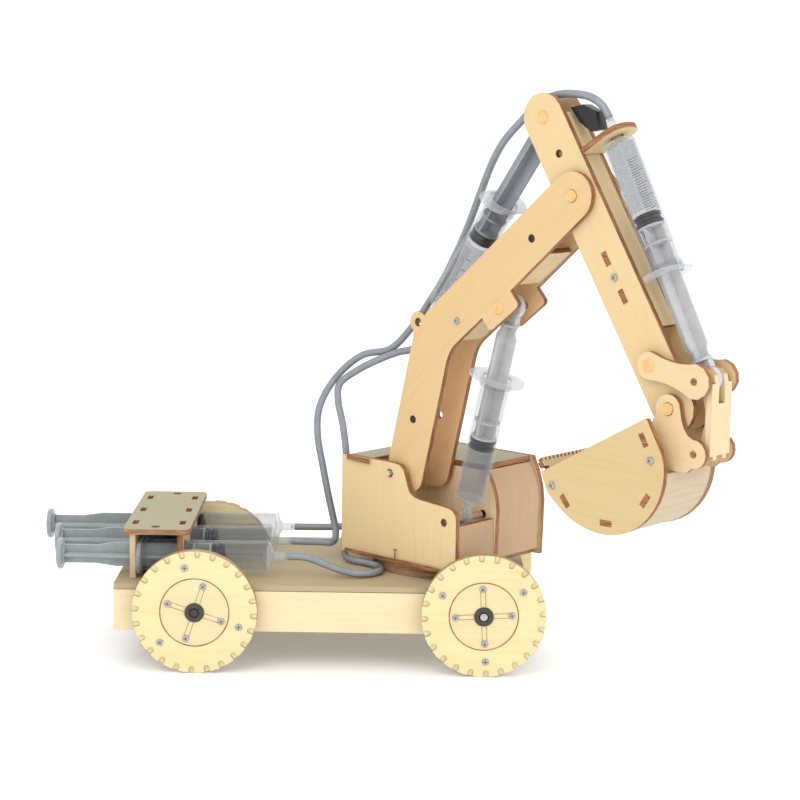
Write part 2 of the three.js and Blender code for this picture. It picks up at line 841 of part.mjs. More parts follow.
// Working syringes of the arm
const heldLong = BARREL_LONG - HOLDER_RISE;
const heldBarrel = joined(barrelShell(-9, heldLong), flange(18, 30, heldLong));
const heldPlunger = PLUNGER_LONG + HOLDER_RISE;
const slaves = [
  ["boom", S_BASE, C_LUG, slaveBarrel(13, 31, 24), PLUNGER_LONG],
  ["stick", D_BOSS, T_TOP, slaveBarrel(8.9, 18, 30), PLUNGER_LONG],
  ["bucket", E_HOLDER, P1_LINK, heldBarrel, heldPlunger],
];
slaves.forEach(([name, base, end, barrel, long]) => {
  laid(turret, name + "_barrel", barrel, clear, base, end);
  const start = reach(base, end) - long;
  laid(turret, name + "_plunger", slavePlunger(long), plungerWhite, base, end, start);
});

// Hoses between each control syringe and the syringe it works
class Route extends THREE.Curve {
  constructor(points) {
    super();
    const at = points.map((p) => new THREE.Vector3(...p));
    this.inner = new THREE.CatmullRomCurve3(at, false, "centripetal");
  }
  getPoint(t, target = new THREE.Vector3()) {
    return this.inner.getPointAt(Math.min(Math.max(t, 0), 1), target);
  }
}
function hose(points, steps) {
  const circle = new THREE.Shape();
  circle.absarc(0, 0, HOSE_R, 0, 2 * Math.PI, false);
  return new THREE.ExtrudeGeometry(circle, {
    steps,
    extrudePath: new Route(points),
    curveSegments: 4,
    bevelEnabled: false,
  });
}
// A place given in the turret's own frame, as seen from the chassis
const fromTurret = (a, l, h) => {
  const c = Math.cos(rad(TURRET_YAW));
  const s = Math.sin(rad(TURRET_YAW));
  return [SWING_X + a * c + l * s, -a * s + l * c, h];
};
const NOZZLE_X = FLANGE_X + CONTROL_LONG - 2;
add(
  kit,
  "hose_stick",
  hose(
    [
      [NOZZLE_X + 0.4, CONTROL_Y[0], CONTROL_Z],
      [-19, -37.2, 57.6],
      [-7, -38.4, 53.6],
      [3, -39.3, 50.4],
      [13, -38.5, 49.4],
      [20.5, -31.5, 49.3],
      [20.5, -21.5, 49.3],
      [14, -13, 49.3],
      [6, -7, 49.3],
      [2.2, -1.5, 49.6],
      [0.8, 3.6, 51.8],
      [0.6, 6.6, 57],
      [1, 7.6, 66],
      [1.4, 8, 84],
      [1.2, 8.5, 104],
      [-1, 11, 122],
      [-4, 14.5, 136],
      [-3.5, 14.5, 145],
      [6, 9.5, 153.6],
      fromTurret(-26, -22, 162.5),
      fromTurret(-16, -20, 166.5),
      fromTurret(-7, BAY_MID, 168.8),
      fromTurret(0, BAY_MID, 172.6),
      fromTurret(3.3, BAY_MID, 178.7),
    ],
    46,
  ),
  hoseGrey,
);
add(
  kit,
  "hose_bucket",
  hose(
    [
      [NOZZLE_X + 0.4, CONTROL_Y[1], CONTROL_Z],
      [-19, 0, 57.9],
      [-11, 0.8, 57.5],
      [-5, 7.5, 57.4],
      [-4.6, 13, 61.5],
      [-6.5, 15.5, 70],
      [-9, 16, 81],
      [-12, 16.5, 96],
      [-15.5, 17, 116],
      [-15, 18, 130],
      [-10, 18.5, 142],
      [-1, 18, 153.6],
      [10, 12, 162.6],
      fromTurret(-24, -18, 167.4),
      fromTurret(-11, -15, 180.5),
      fromTurret(1, -14, 196),
      fromTurret(11, -13, 211),
      fromTurret(25, -14, 234),
      fromTurret(38, -16, 259),
      fromTurret(46, -18, 272.5),
      fromTurret(55, BAY_MID, 284),
      fromTurret(66, BAY_MID, 294.5),
      fromTurret(77, BAY_MID, 303.5),
      fromTurret(88, BAY_MID, 308.4),
      fromTurret(101, BAY_MID, 309.4),
      fromTurret(111, BAY_MID, 307.6),
      fromTurret(117.6, BAY_MID, 303.8),
      fromTurret(122.1, BAY_MID, 298),
    ],
    56,
  ),
  hoseGrey,
);
add(
  kit,
  "hose_boom",
  hose(
    [
      [NOZZLE_X + 0.4, CONTROL_Y[2], CONTROL_Z],
      [-17, 36.8, 58],
      [-6, 35.4, 58.6],
      [2, 31.8, 60.2],
      [9, 26, 62.6],
      fromTurret(-41, HOSE_DOOR[0], HOSE_DOOR[1]),
      fromTurret(-30, -13, 64),
      fromTurret(-10, -17, 62),
      fromTurret(6, BAY_MID, 60),
      fromTurret(20, BAY_MID, 59.6),
      fromTurret(28.4, BAY_MID, 63),
      fromTurret(31.6, BAY_MID, 71.8),
    ],
    24,
  ),
  hoseGrey,
);

// The part's own origin is under the middle of its box, on the ground
const whole = new THREE.Box3().setFromObject(kit, true);
const middle = whole.getCenter(new THREE.Vector3());
kit.position.set(-middle.x, -middle.y, -whole.min.z);

export default kit;
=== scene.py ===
import math

import bmesh
import bpy
from mathutils import Matrix, Vector


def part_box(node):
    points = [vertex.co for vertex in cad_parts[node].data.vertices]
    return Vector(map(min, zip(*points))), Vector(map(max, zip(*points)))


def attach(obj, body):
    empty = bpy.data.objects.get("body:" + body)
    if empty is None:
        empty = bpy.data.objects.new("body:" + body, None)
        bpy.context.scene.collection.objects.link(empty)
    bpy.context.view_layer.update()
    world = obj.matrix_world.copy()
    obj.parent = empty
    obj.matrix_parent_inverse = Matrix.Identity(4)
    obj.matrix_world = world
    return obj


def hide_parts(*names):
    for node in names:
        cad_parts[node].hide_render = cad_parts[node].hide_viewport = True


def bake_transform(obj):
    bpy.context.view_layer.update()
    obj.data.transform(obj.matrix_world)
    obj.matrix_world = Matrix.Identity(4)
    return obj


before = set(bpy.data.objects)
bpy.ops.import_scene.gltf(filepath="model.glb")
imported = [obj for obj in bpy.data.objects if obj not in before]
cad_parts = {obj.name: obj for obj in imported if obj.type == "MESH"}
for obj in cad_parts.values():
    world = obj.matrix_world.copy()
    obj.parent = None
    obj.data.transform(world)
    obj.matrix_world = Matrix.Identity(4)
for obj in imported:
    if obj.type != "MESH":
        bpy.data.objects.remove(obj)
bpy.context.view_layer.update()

MM = 0.001

# ---------------------------------------------------------------- places
# The deck and the swing ring say where the chassis's own zero and the turret's are.
DECK_TOP = 47
SWING_X = 55
TURRET_YAW = math.radians(42)
BAY_MID = -19.75

ring_low, ring_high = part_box("swing_ring")
deck_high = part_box("deck")[1]
ZERO = Vector(
    (
        (ring_low.x + ring_high.x) / 2 - SWING_X * MM,
        (ring_low.y + ring_high.y) / 2,
        deck_high.z - DECK_TOP * MM,
    )
)
FORWARD = Vector((math.cos(TURRET_YAW), -math.sin(TURRET_YAW), 0))
ACROSS = Vector((math.sin(TURRET_YAW), math.cos(TURRET_YAW), 0))
UP = Vector((0, 0, 1))
X_AXIS = Vector((1, 0, 0))
Y_AXIS = Vector((0, 1, 0))


def chassis_at(x, y, z):
    """A place on the chassis in millimetres, as a point of the frame."""
    return ZERO + Vector((x, y, z)) * MM


def turret_at(a, across, h):
    """A place in the turret: forwards, across and up, in millimetres."""
    flat = FORWARD * (a * MM) + ACROSS * (across * MM)
    return chassis_at(SWING_X, 0, h) + flat


def arm_at(point, across=BAY_MID):
    """A place in the plane of the arm, or beside it."""
    return turret_at(point[0], across, point[1])


# Pivots in the plane of the arm, as in the CAD
S_BASE = (34, 81)
C_LUG = (64, 198.7)
D_BOSS = (8.7, 186.4)
T_TOP = (87.2, 297.4)
P1_LINK = (186.5, 173.8)
P2_LINK = (187.7, 138.5)
STICK_ANGLE = math.radians(-58.5)
STICK_DIR = (math.cos(STICK_ANGLE), math.sin(STICK_ANGLE))


def on_stick(d, n):
    """A place on the stick: d along it from the top pivot, n out from its centre line."""
    return (
        T_TOP[0] + d * STICK_DIR[0] - n * STICK_DIR[1],
        T_TOP[1] + d * STICK_DIR[1] + n * STICK_DIR[0],
    )


R1_LINK = on_stick(139, 0)
E_HOLDER = on_stick(27, 29.5)


# ---------------------------------------------------------------- camera
CAMERA_AT = Vector((29.9, -1112.9, 316.8))
CAMERA_TURN = math.radians(0.044)
CAMERA_DOWN = math.radians(9.071)
CAMERA_ROLL = math.radians(0.847)
CAMERA_LENS = 91.3


def make_camera():
    data = bpy.data.cameras.new("camera")
    data.lens = CAMERA_LENS
    data.sensor_width = 36
    data.clip_start = 0.05
    data.clip_end = 20
    camera = bpy.data.objects.new("camera", data)
    bpy.context.scene.collection.objects.link(camera)
    level = math.cos(CAMERA_DOWN)
    ahead = Vector(
        (
            math.sin(CAMERA_TURN) * level,
            math.cos(CAMERA_TURN) * level,
            -math.sin(CAMERA_DOWN),
        )
    )
    side = Vector((math.cos(CAMERA_TURN), -math.sin(CAMERA_TURN), 0))
    top = side.cross(ahead)
    right = side * math.cos(CAMERA_ROLL) + top * math.sin(CAMERA_ROLL)
    up = top * math.cos(CAMERA_ROLL) - side * math.sin(CAMERA_ROLL)
    turn = Matrix((right, up, -ahead)).transposed().to_4x4()
    camera.matrix_world = Matrix.Translation(chassis_at(*CAMERA_AT)) @ turn
    bpy.context.scene.camera = camera


make_camera()


# ---------------------------------------------------------------- materials
class Shader:
    """A small builder for one material's nodes."""

    def __init__(self, name):
        self.material = bpy.data.materials.new(name)
        self.material.use_nodes = True
        self.tree = self.material.node_tree
        self.surface = self.tree.nodes["Principled BSDF"]
        self.coordinates = self.tree.nodes.new("ShaderNodeTexCoord")

    def node(self, kind, **values):
        made = self.tree.nodes.new(kind)
        for key, value in values.items():
            setattr(made, key, value)
        return made

    def wire(self, source, target):
        self.tree.links.new(source, target)

    def put(self, socket, value):
        """Sets a surface socket from a constant or from another node."""
        target = self.surface.inputs[socket]
        if isinstance(value, bpy.types.NodeSocket):
            self.wire(value, target)
        else:
            target.default_value = value

    def number(self, operation, a, b=0.5, clamp=False):
        made = self.node("ShaderNodeMath", operation=operation, use_clamp=clamp)
        for i, value in enumerate((a, b)):
            if isinstance(value, bpy.types.NodeSocket):
                self.wire(value, made.inputs[i])
            else:
                made.inputs[i].default_value = value
        return made.outputs[0]

    def dot(self, source, direction):
        made = self.node("ShaderNodeVectorMath", operation="DOT_PRODUCT")
        self.wire(source, made.inputs[0])
        made.inputs[1].default_value = tuple(direction)
        return made.outputs["Value"]

    def ramp(self, source, low, high, invert=False):
        """A smooth step of a value from 0 at low to 1 at high."""
        made = self.node("ShaderNodeMapRange", interpolation_type="SMOOTHSTEP")
        self.wire(source, made.inputs["Value"])
        made.inputs["From Min"].default_value = low
        made.inputs["From Max"].default_value = high
        made.inputs["To Min"].default_value = 1 if invert else 0
        made.inputs["To Max"].default_value = 0 if invert else 1
        return made.outputs["Result"]

    def mix(self, share, a, b):
        made = self.node("ShaderNodeMix", data_type="RGBA")
        for i, value in ((6, a), (7, b)):
            if isinstance(value, bpy.types.NodeSocket):
                self.wire(value, made.inputs[i])
            else:
                made.inputs[i].default_value = (*value, 1)
        if isinstance(share, bpy.types.NodeSocket):
            self.wire(share, made.inputs[0])
        else:
            made.inputs[0].default_value = share
        return made.outputs[2]

    def frame_of(self, along, through):
        """Object coordinates turned so that X runs along the grain and Z through the sheet."""
        x = Vector(along).normalized()
        z = Vector(through).normalized()
        y = z.cross(x)
        made = self.node("ShaderNodeCombineXYZ")
        for i, axis in enumerate((x, y, z)):
            self.wire(self.dot(self.coordinates.outputs["Object"], axis), made.inputs[i])
        return made.outputs[0]

    def noise(self, source, stretch, scale, detail=3.0, rough=0.55):
        mapped = self.node("ShaderNodeMapping")
        mapped.inputs["Scale"].default_value = stretch
        self.wire(source, mapped.inputs["Vector"])
        made = self.node("ShaderNodeTexNoise")
        made.inputs["Scale"].default_value = scale
        made.inputs["Detail"].default_value = detail
        made.inputs["Roughness"].default_value = rough
        self.wire(mapped.outputs[0], made.inputs["Vector"])
        return made.outputs[0]

    def speck(self, scale, detail=2.0):
        """Even noise through the whole piece, with about scale spots to the metre."""
        made = self.node("ShaderNodeTexNoise")
        made.inputs["Scale"].default_value = scale
        made.inputs["Detail"].default_value = detail
        self.wire(self.coordinates.outputs["Object"], made.inputs["Vector"])
        return made.outputs[0]

    def bump(self, height, strength, distance):
        made = self.node("ShaderNodeBump")
        made.inputs["Strength"].default_value = strength
        made.inputs["Distance"].default_value = distance
        self.wire(height, made.inputs["Height"])
        self.wire(made.outputs[0], self.surface.inputs["Normal"])


FACE = (0.62, 0.48, 0.27)
BURNT = (0.17, 0.062, 0.022)
SCORCH = (0.40, 0.19, 0.075)


def plywood(name, along, through, face=FACE, burn=1.0, halo=0.55):
    """Birch plywood cut by laser: a pale face with faint grain, and burnt brown edges.

    A face is where the surface looks along the sheet's own normal. The scorch runs a
    little way onto the face from every edge.
    """
    s = Shader(name)
    place = s.frame_of(along, through)
    grain = s.noise(place, (9, 130, 9), 3.2, 6, 0.6)
    cloud = s.noise(place, (14, 26, 14), 1.4, 3, 0.5)
    fleck = s.noise(place, (70, 900, 70), 2.0, 2, 0.6)
    dark = (face[0] * 0.86, face[1] * 0.78, face[2] * 0.66)
    pale = tuple(min(1, c * 1.06) for c in face)
    wood = s.mix(s.number("MULTIPLY", s.ramp(grain, 0.4, 0.7), 0.26), face, dark)
    wood = s.mix(s.number("MULTIPLY", s.ramp(cloud, 0.4, 0.75), 0.4), wood, pale)
    wood = s.mix(s.number("MULTIPLY", s.ramp(fleck, 0.6, 0.8), 0.16), wood, dark)
    soot = s.noise(place, (40, 40, 500), 3.0, 3, 0.6)
    char = s.mix(s.ramp(soot, 0.35, 0.7), BURNT, SCORCH)
    softer = s.mix(burn, face, char)
    worn = s.node("ShaderNodeBevel", samples=4)
    worn.inputs["Radius"].default_value = 0.0005
    true_normal = s.node("ShaderNodeNewGeometry")
    near_edge = s.node("ShaderNodeVectorMath", operation="DOT_PRODUCT")
    s.wire(worn.outputs[0], near_edge.inputs[0])
    s.wire(true_normal.outputs["Normal"], near_edge.inputs[1])
    line = s.ramp(near_edge.outputs["Value"], 0.80, 0.985, invert=True)
    wood = s.mix(s.number("MULTIPLY", line, halo), wood, char)
    facing = s.number("ABSOLUTE", s.dot(s.coordinates.outputs["Normal"], through))
    edge = s.ramp(facing, 0.45, 0.75, invert=True)
    s.put("Base Color", s.mix(edge, wood, softer))
    s.put("Roughness", 0.55)
    s.put("Specular IOR Level", 0.3)
    s.bump(fleck, 0.12, 0.0002)
    return s.material


def dowel_wood():
    """Orange end grain of the round pegs."""
    s = Shader("dowel_end_grain")
    rings = s.speck(420, 4)
    tone = s.ramp(rings, 0.35, 0.68)
    s.put("Base Color", s.mix(tone, (0.93, 0.47, 0.19), (0.80, 0.36, 0.13)))
    s.put("Roughness", 0.55)
    s.bump(rings, 0.3, 0.0002)
    return s.material


def clear_plastic(name, tint, painted_rim_shading, body, rim, rough=0.18):
    """Thin clear plastic: see-through face on, and denser towards its rim, where its colour turns paler
    as a painted highlight standing in for reflection.
    """
    s = Shader(name)
    haze = s.speck(160)
    darker = tuple(c * 0.9 for c in tint)
    core = s.mix(s.ramp(haze, 0.3, 0.7), tint, darker)
    slant = s.node("ShaderNodeLayerWeight").outputs["Facing"]
    steep = s.number("POWER", slant, 2.2)
    s.put("Base Color", s.mix(steep, core, painted_rim_shading))
    s.put("Alpha", s.number("ADD", s.number("MULTIPLY", steep, rim), body, clamp=True))
    s.put("Roughness", rough)
    s.put("Specular IOR Level", 0.6)
    s.bump(haze, 0.03, 0.0002)
    return s.material


def milky_plastic(name, tint, painted_rim_shading, rough=0.32):
    """Cloudy moulded plastic that turns towards its rim colour where it turns away: painted rim shading,
    a painted highlight where that colour is paler and painted shade where it is darker.
    """
    s = Shader(name)
    haze = s.speck(190)
    darker = tuple(c * 0.88 for c in tint)
    core = s.mix(s.ramp(haze, 0.3, 0.7), tint, darker)
    slant = s.node("ShaderNodeLayerWeight").outputs["Facing"]
    s.put("Base Color", s.mix(s.number("POWER", slant, 1.6), core, painted_rim_shading))
    s.put("Roughness", rough)
    s.put("Specular IOR Level", 0.5)
    s.bump(haze, 0.05, 0.0002)
    return s.material


def rubber(name, tint, rough):
    """Dark rubber or plastic with a little dust on it. The printed ink uses it too."""
    s = Shader(name)
    dust = s.speck(900)
    paler = tuple(c * 1.5 + 0.003 for c in tint)
    s.put("Base Color", s.mix(s.ramp(dust, 0.4, 0.8), tint, paler))
    s.put("Roughness", rough)
    s.bump(dust, 0.12, 0.0001)
    return s.material


def zinc(name, light, dark):
    """Plated steel of the small screws and the front axle."""
    s = Shader(name)
    scratch = s.speck(1100)
    tone = s.ramp(scratch, 0.3, 0.7)
    s.put("Base Color", s.mix(tone, light, dark))
    s.put("Metallic", 1.0)
    s.put("Roughness", 0.42)
    s.bump(scratch, 0.08, 0.00005)
    return s.material


DOWEL = dowel_wood()
STEEL = zinc("zinc_steel", (0.50, 0.51, 0.49), (0.38, 0.39, 0.38))
# The darker zinc of the screws' crosses is painted shade for their recesses.
GROOVE_PAINTED_SHADE = zinc("zinc_groove_painted_shade", (0.20, 0.20, 0.19), (0.14, 0.14, 0.135))
BLACK = rubber("black_rubber", (0.004, 0.004, 0.005), 0.35)
HUB_BLACK = rubber("hub_black", (0.03, 0.027, 0.024), 0.38)
INK = rubber("printed_ink", (0.10, 0.115, 0.14), 0.6)
# The paler rim colours of these four materials are a painted highlight standing in for reflection.
CLEAR = clear_plastic("clear_barrel", (0.20, 0.22, 0.25), (0.74, 0.77, 0.80), 0.07, 0.42)
WET = clear_plastic("water_filled", (0.15, 0.17, 0.20), (0.58, 0.61, 0.64), 0.42, 0.15)
WET_THIN = clear_plastic("water_thin", (0.22, 0.235, 0.25), (0.58, 0.60, 0.62), 0.26, 0.2)
TIP = clear_plastic("moulded_tip", (0.50, 0.53, 0.55), (0.72, 0.74, 0.76), 0.34, 0.4)
# The paler rim colours of the three plungers are a painted highlight.
MILKY = milky_plastic("milky_plunger", (0.27, 0.31, 0.32), (0.42, 0.45, 0.46))
SMOKY = milky_plastic("smoky_plunger", (0.24, 0.27, 0.30), (0.36, 0.39, 0.42))
PALE = milky_plastic("pale_plunger", (0.44, 0.44, 0.45), (0.62, 0.63, 0.65))
# The darker rim colour of the hose is painted shade along its edges.
HOSE = milky_plastic("grey_hose", (0.26, 0.28, 0.31), (0.10, 0.11, 0.13), 0.2)

# The sheets, by the way each one faces
STICK_ALONG = FORWARD * STICK_DIR[0] + UP * STICK_DIR[1]
STICK_OUT = ACROSS.cross(STICK_ALONG)


def between(p, q):
    """The normal of a sheet that stands across the arm from p to q."""
    along = FORWARD * (q[0] - p[0]) + UP * (q[1] - p[1])
    return ACROSS.cross(along).normalized()


CREAM = (0.71, 0.61, 0.34)
BURN_LINE = plywood("burnt_line", X_AXIS, UP, SCORCH)
TAN_LINE = plywood("tan_line", X_AXIS, UP, (0.47, 0.30, 0.13))
# This flat birch and the deck are greyer and darker than the upright sheets: painted shade for faces that
# look up.
FLAT_PAINTED_SHADE = plywood("birch_flat_painted_shade", Y_AXIS, UP, (0.36, 0.325, 0.215), 0.8)
DECK_PAINTED_SHADE = plywood("birch_deck_painted_shade", X_AXIS, UP, (0.42, 0.345, 0.205), 0.1, 0.9)
SIDE = plywood("birch_side", X_AXIS, Y_AXIS, (0.72, 0.61, 0.385), 0.5)
END = plywood("birch_end", Y_AXIS, X_AXIS, (0.62, 0.50, 0.30))
STAND_REAR = plywood("birch_stand_rear", Y_AXIS, X_AXIS, (0.62, 0.50, 0.32), 0.25)
WHEEL = plywood("birch_wheel", X_AXIS, Y_AXIS, CREAM, 0.7, 0.5)
WHEEL_FACE = plywood("birch_wheel_face", X_AXIS, Y_AXIS, CREAM, 1.0, 0.95)
HUB_WOOD = plywood("birch_hub", X_AXIS, Y_AXIS, (0.74, 0.59, 0.35), 0.5)
TURRET_SIDE = plywood("birch_turret_side", UP, ACROSS, (0.66, 0.515, 0.285))
# The middle panel is brighter than the other turret sides: painted light in the shaded bay.
BAY_WALL_PAINTED_LIGHT = plywood("birch_bay_wall_painted_light", UP, ACROSS, (0.92, 0.70, 0.44))
# The rear panel, cab front and bay front are darker and pinker than the sides: painted shade.
TURRET_END_PAINTED_SHADE = plywood("birch_turret_end_painted_shade", UP, FORWARD, (0.47, 0.32, 0.19))
# The cab roof is greyer and darker than the upright sheets: painted shade for a face that looks up.
TURRET_TOP_PAINTED_SHADE = plywood("birch_turret_top_painted_shade", FORWARD, UP, (0.34, 0.315, 0.215))
BOOM = plywood("birch_boom", FORWARD + UP, ACROSS, (0.62, 0.44, 0.228))
# The far boom plate is brighter than the near one: painted light in the shaded bay.
BOOM_FAR_PAINTED_LIGHT = plywood("birch_boom_far_painted_light", FORWARD + UP, ACROSS, (0.74, 0.47, 0.25))
BOOM_BEND = plywood("birch_boom_bend", ACROSS, between((36, 178.6), (51.5, 192)))
BOOM_ARM = plywood("birch_boom_arm", ACROSS, between((74, 211.4), (94, 228.8)))
STICK = plywood("birch_stick", STICK_ALONG, ACROSS, (0.65, 0.485, 0.265))
SPACER = plywood("birch_spacer", STICK_ALONG, STICK_OUT)
HOLDER = plywood("birch_holder", STICK_OUT, STICK_ALONG)
LINK = plywood("birch_link", FORWARD, ACROSS, (0.66, 0.50, 0.29))
LINK_PIN = plywood("pale_pin", UP, ACROSS, (0.58, 0.50, 0.34), 0.6)
BUCKET = plywood("birch_bucket", FORWARD, ACROSS, (0.56, 0.425, 0.22))


def plain_birch(s, face, grain, strength, edge):
    """Finishes a sheet's material: grain of some strength, and scorched where edge is 1."""
    dark = (face[0] * 0.84, face[1] * 0.76, face[2] * 0.64)
    wood = s.mix(s.number("MULTIPLY", s.ramp(grain, 0.4, 0.7), strength), face, dark)
    s.put("Base Color", s.mix(edge, wood, SCORCH))
    s.put("Roughness", 0.55)
    s.put("Specular IOR Level", 0.3)
    s.bump(grain, 0.1, 0.0002)
    return s.material


def bent_plywood(name, face):
    """A sheet bent round the bucket: pale both ways out, burnt only on its two side edges."""
    s = Shader(name)
    place = s.frame_of(ACROSS, UP)
    grain = s.noise(place, (9, 130, 130), 3.2, 6, 0.6)
    facing = s.number("ABSOLUTE", s.dot(s.coordinates.outputs["Normal"], ACROSS))
    return plain_birch(s, face, grain, 0.5, s.ramp(facing, 0.6, 0.8))


BENT = bent_plywood("birch_bent", (0.50, 0.41, 0.285))
LIP_ANGLE = math.radians(54)
LIP_NORMAL = FORWARD * math.sin(LIP_ANGLE) + UP * math.cos(LIP_ANGLE)
TOOTH = plywood("birch_tooth", ACROSS, LIP_NORMAL, (0.60, 0.46, 0.26))


def link_plywood(name, face):
    """Plates in the plane of the arm and a web across it: both pale, the rest burnt."""
    s = Shader(name)
    place = s.frame_of(UP, ACROSS)
    grain = s.noise(place, (9, 130, 9), 3.2, 6, 0.6)
    flank = s.number("ABSOLUTE", s.dot(s.coordinates.outputs["Normal"], ACROSS))
    front = s.number("ABSOLUTE", s.dot(s.coordinates.outputs["Normal"], FORWARD))
    facing = s.number("MAXIMUM", flank, front)
    return plain_birch(s, face, grain, 0.4, s.ramp(facing, 0.6, 0.9, invert=True))


LINK_FACES = link_plywood("birch_h_link", (0.68, 0.53, 0.32))


def paint(node, material):
    """Gives a CAD node its material."""
    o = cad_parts[node]
    o.data.materials.clear()
    o.data.materials.append(material)


PAINT = {
    DECK_PAINTED_SHADE: ["deck"],
    SIDE: ["side_near", "side_far"],
    END: ["end_rear", "end_front", "stand_panel_front"],
    STAND_REAR: ["stand_panel_rear"],
    FLAT_PAINTED_SHADE: ["stand_plate", "swing_ring", "turn_disc", "turret_floor"],
    TURRET_SIDE: ["turret_panel_near", "turret_panel_far"],
    BAY_WALL_PAINTED_LIGHT: ["turret_panel_middle"],
    TURRET_END_PAINTED_SHADE: ["turret_panel_rear", "cab_front", "bay_front"],
    TURRET_TOP_PAINTED_SHADE: ["cab_roof"],
    BOOM: ["boom_plate_near"],
    BOOM_FAR_PAINTED_LIGHT: ["boom_plate_far"],
    BOOM_BEND: ["boom_spacer_bend"],
    BOOM_ARM: ["boom_spacer_arm"],
    STICK: ["stick_plate_near", "stick_plate_far"],
    SPACER: ["stick_spacer"],
    HOLDER: ["syringe_holder"],
    LINK: [
        "idler_link_near",
        "idler_link_far",
        "bucket_bracket_near",
        "bucket_bracket_far",
    ],
    BUCKET: ["bucket_side_near", "bucket_side_far"],
    BENT: ["bucket_shell"],
    TOOTH: ["tooth_plate"],
    LINK_FACES: ["h_link"],
    DOWEL: ["stick_dowel", "bucket_dowel"],
    LINK_PIN: ["boom_pin"],
    STEEL: ["axle_front"],
    HUB_BLACK: ["axle_rear"],
    CLEAR: [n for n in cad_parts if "barrel" in n],
    MILKY: [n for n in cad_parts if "plunger" in n],
    HOSE: ["hose_stick", "hose_bucket", "hose_boom"],
}
for material, nodes in PAINT.items():
    for node in nodes:
        paint(node, material)


# ---------------------------------------------------------------- mesh helpers
SHARP = math.radians(35)


def piece(name, mesh_data, material, body):
    """Links a finished mesh and lets it ride on a body."""
    made = bpy.data.objects.new(name, mesh_data)
    bpy.context.scene.collection.objects.link(made)
    mesh_data.materials.clear()
    mesh_data.materials.append(material)
    for p in mesh_data.polygons:
        p.use_smooth = True
    mesh_data.set_sharp_from_angle(angle=SHARP)
    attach(made, body)
    return made


def axes_at(origin, z, x_hint=UP):
    """A matrix whose Z looks along z and whose X is near x_hint."""
    z = Vector(z).normalized()
    hint = Vector(x_hint)
    if abs(hint.normalized().dot(z)) > 0.99:
        hint = X_AXIS
    x = (hint - z * hint.dot(z)).normalized()
    y = z.cross(x)
    return Matrix.Translation(origin) @ Matrix((x, y, z)).transposed().to_4x4()


def turned(profile, steps=32):
    """A body of revolution: (radius, height) pairs in millimetres, from axis to axis."""
    bm = bmesh.new()
    rings = []
    for r, z in profile:
        if r <= 1e-6:
            rings.append([bm.verts.new((0, 0, z * MM))])
            continue
        ring = []
        for i in range(steps):
            t = 2 * math.pi * i / steps
            ring.append(bm.verts.new((r * MM * math.cos(t), r * MM * math.sin(t), z * MM)))
        rings.append(ring)
    for low, high in zip(rings, rings[1:]):
        for i in range(steps):
            j = (i + 1) % steps
            loop = [low[i % len(low)], low[j % len(low)], high[j % len(high)], high[i % len(high)]]
            bm.faces.new(dict.fromkeys(loop))
    bmesh.ops.recalc_face_normals(bm, faces=bm.faces)
    return bm


def sheet_cut(outlines, thick, bevel=0.0):
    """A flat plate cut from closed outlines in millimetres, the first one outside; Z from 0 up."""
    data = bpy.data.curves.new("cut", "CURVE")
    data.dimensions = "2D"
    data.fill_mode = "BOTH"
    data.extrude = (thick / 2 - bevel) * MM
    data.bevel_depth = bevel * MM
    data.bevel_resolution = 1
    for points in outlines:
        spline = data.splines.new("POLY")
        spline.points.add(len(points) - 1)
        for target, (x, y) in zip(spline.points, points):
            target.co = (x * MM, y * MM, 0, 1)
        spline.use_cyclic_u = True
    holder = bpy.data.objects.new("cut", data)
    bpy.context.scene.collection.objects.link(holder)
    graph = bpy.context.evaluated_depsgraph_get()
    made = bpy.data.meshes.new_from_object(holder.evaluated_get(graph))
    bpy.data.objects.remove(holder)
    bm = bmesh.new()
    bm.from_mesh(made)
    bmesh.ops.remove_doubles(bm, verts=bm.verts, dist=1e-6)
    bmesh.ops.recalc_face_normals(bm, faces=bm.faces)
    bmesh.ops.translate(bm, verts=bm.verts, vec=(0, 0, thick / 2 * MM))
    return bm


def box_cut(x, y, z):
    """A block centred on the origin in X and Y and standing on Z 0."""
    bm = bmesh.new()
    bmesh.ops.create_cube(bm, size=1)
    bmesh.ops.scale(bm, verts=bm.verts, vec=(x * MM, y * MM, z * MM))
    bmesh.ops.translate(bm, verts=bm.verts, vec=(0, 0, z / 2 * MM))
    return bm


def merged(*parts):
    """Several bmeshes, each with its own matrix, as one."""
    out = bmesh.new()
    for bm, matrix in parts:
        data = bpy.data.meshes.new("part")
        bm.to_mesh(data)
        data.transform(matrix)
        out.from_mesh(data)
        bpy.data.meshes.remove(data)
        bm.free()
    return out


def finished(bm, matrix, name="mesh"):
    """A bmesh put in its place, as mesh data."""
    data = bpy.data.meshes.new(name)
    bm.to_mesh(data)
    bm.free()
    data.transform(matrix)
    return data


def ring_points(r, steps):
    """A circle round the origin, as the corners of a polygon."""
    turns = [2 * math.pi * i / steps for i in range(steps)]
    return [(r * math.cos(t), r * math.sin(t)) for t in turns]


def moved(x=0, y=0, z=0):
    """A shift in millimetres."""
    return Matrix.Translation(Vector((x, y, z)) * MM)


# ---------------------------------------------------------------- hoses
HOSE_D = 4.0
HOSE_SHARP = math.radians(50)
WAY_STEP = 2.2
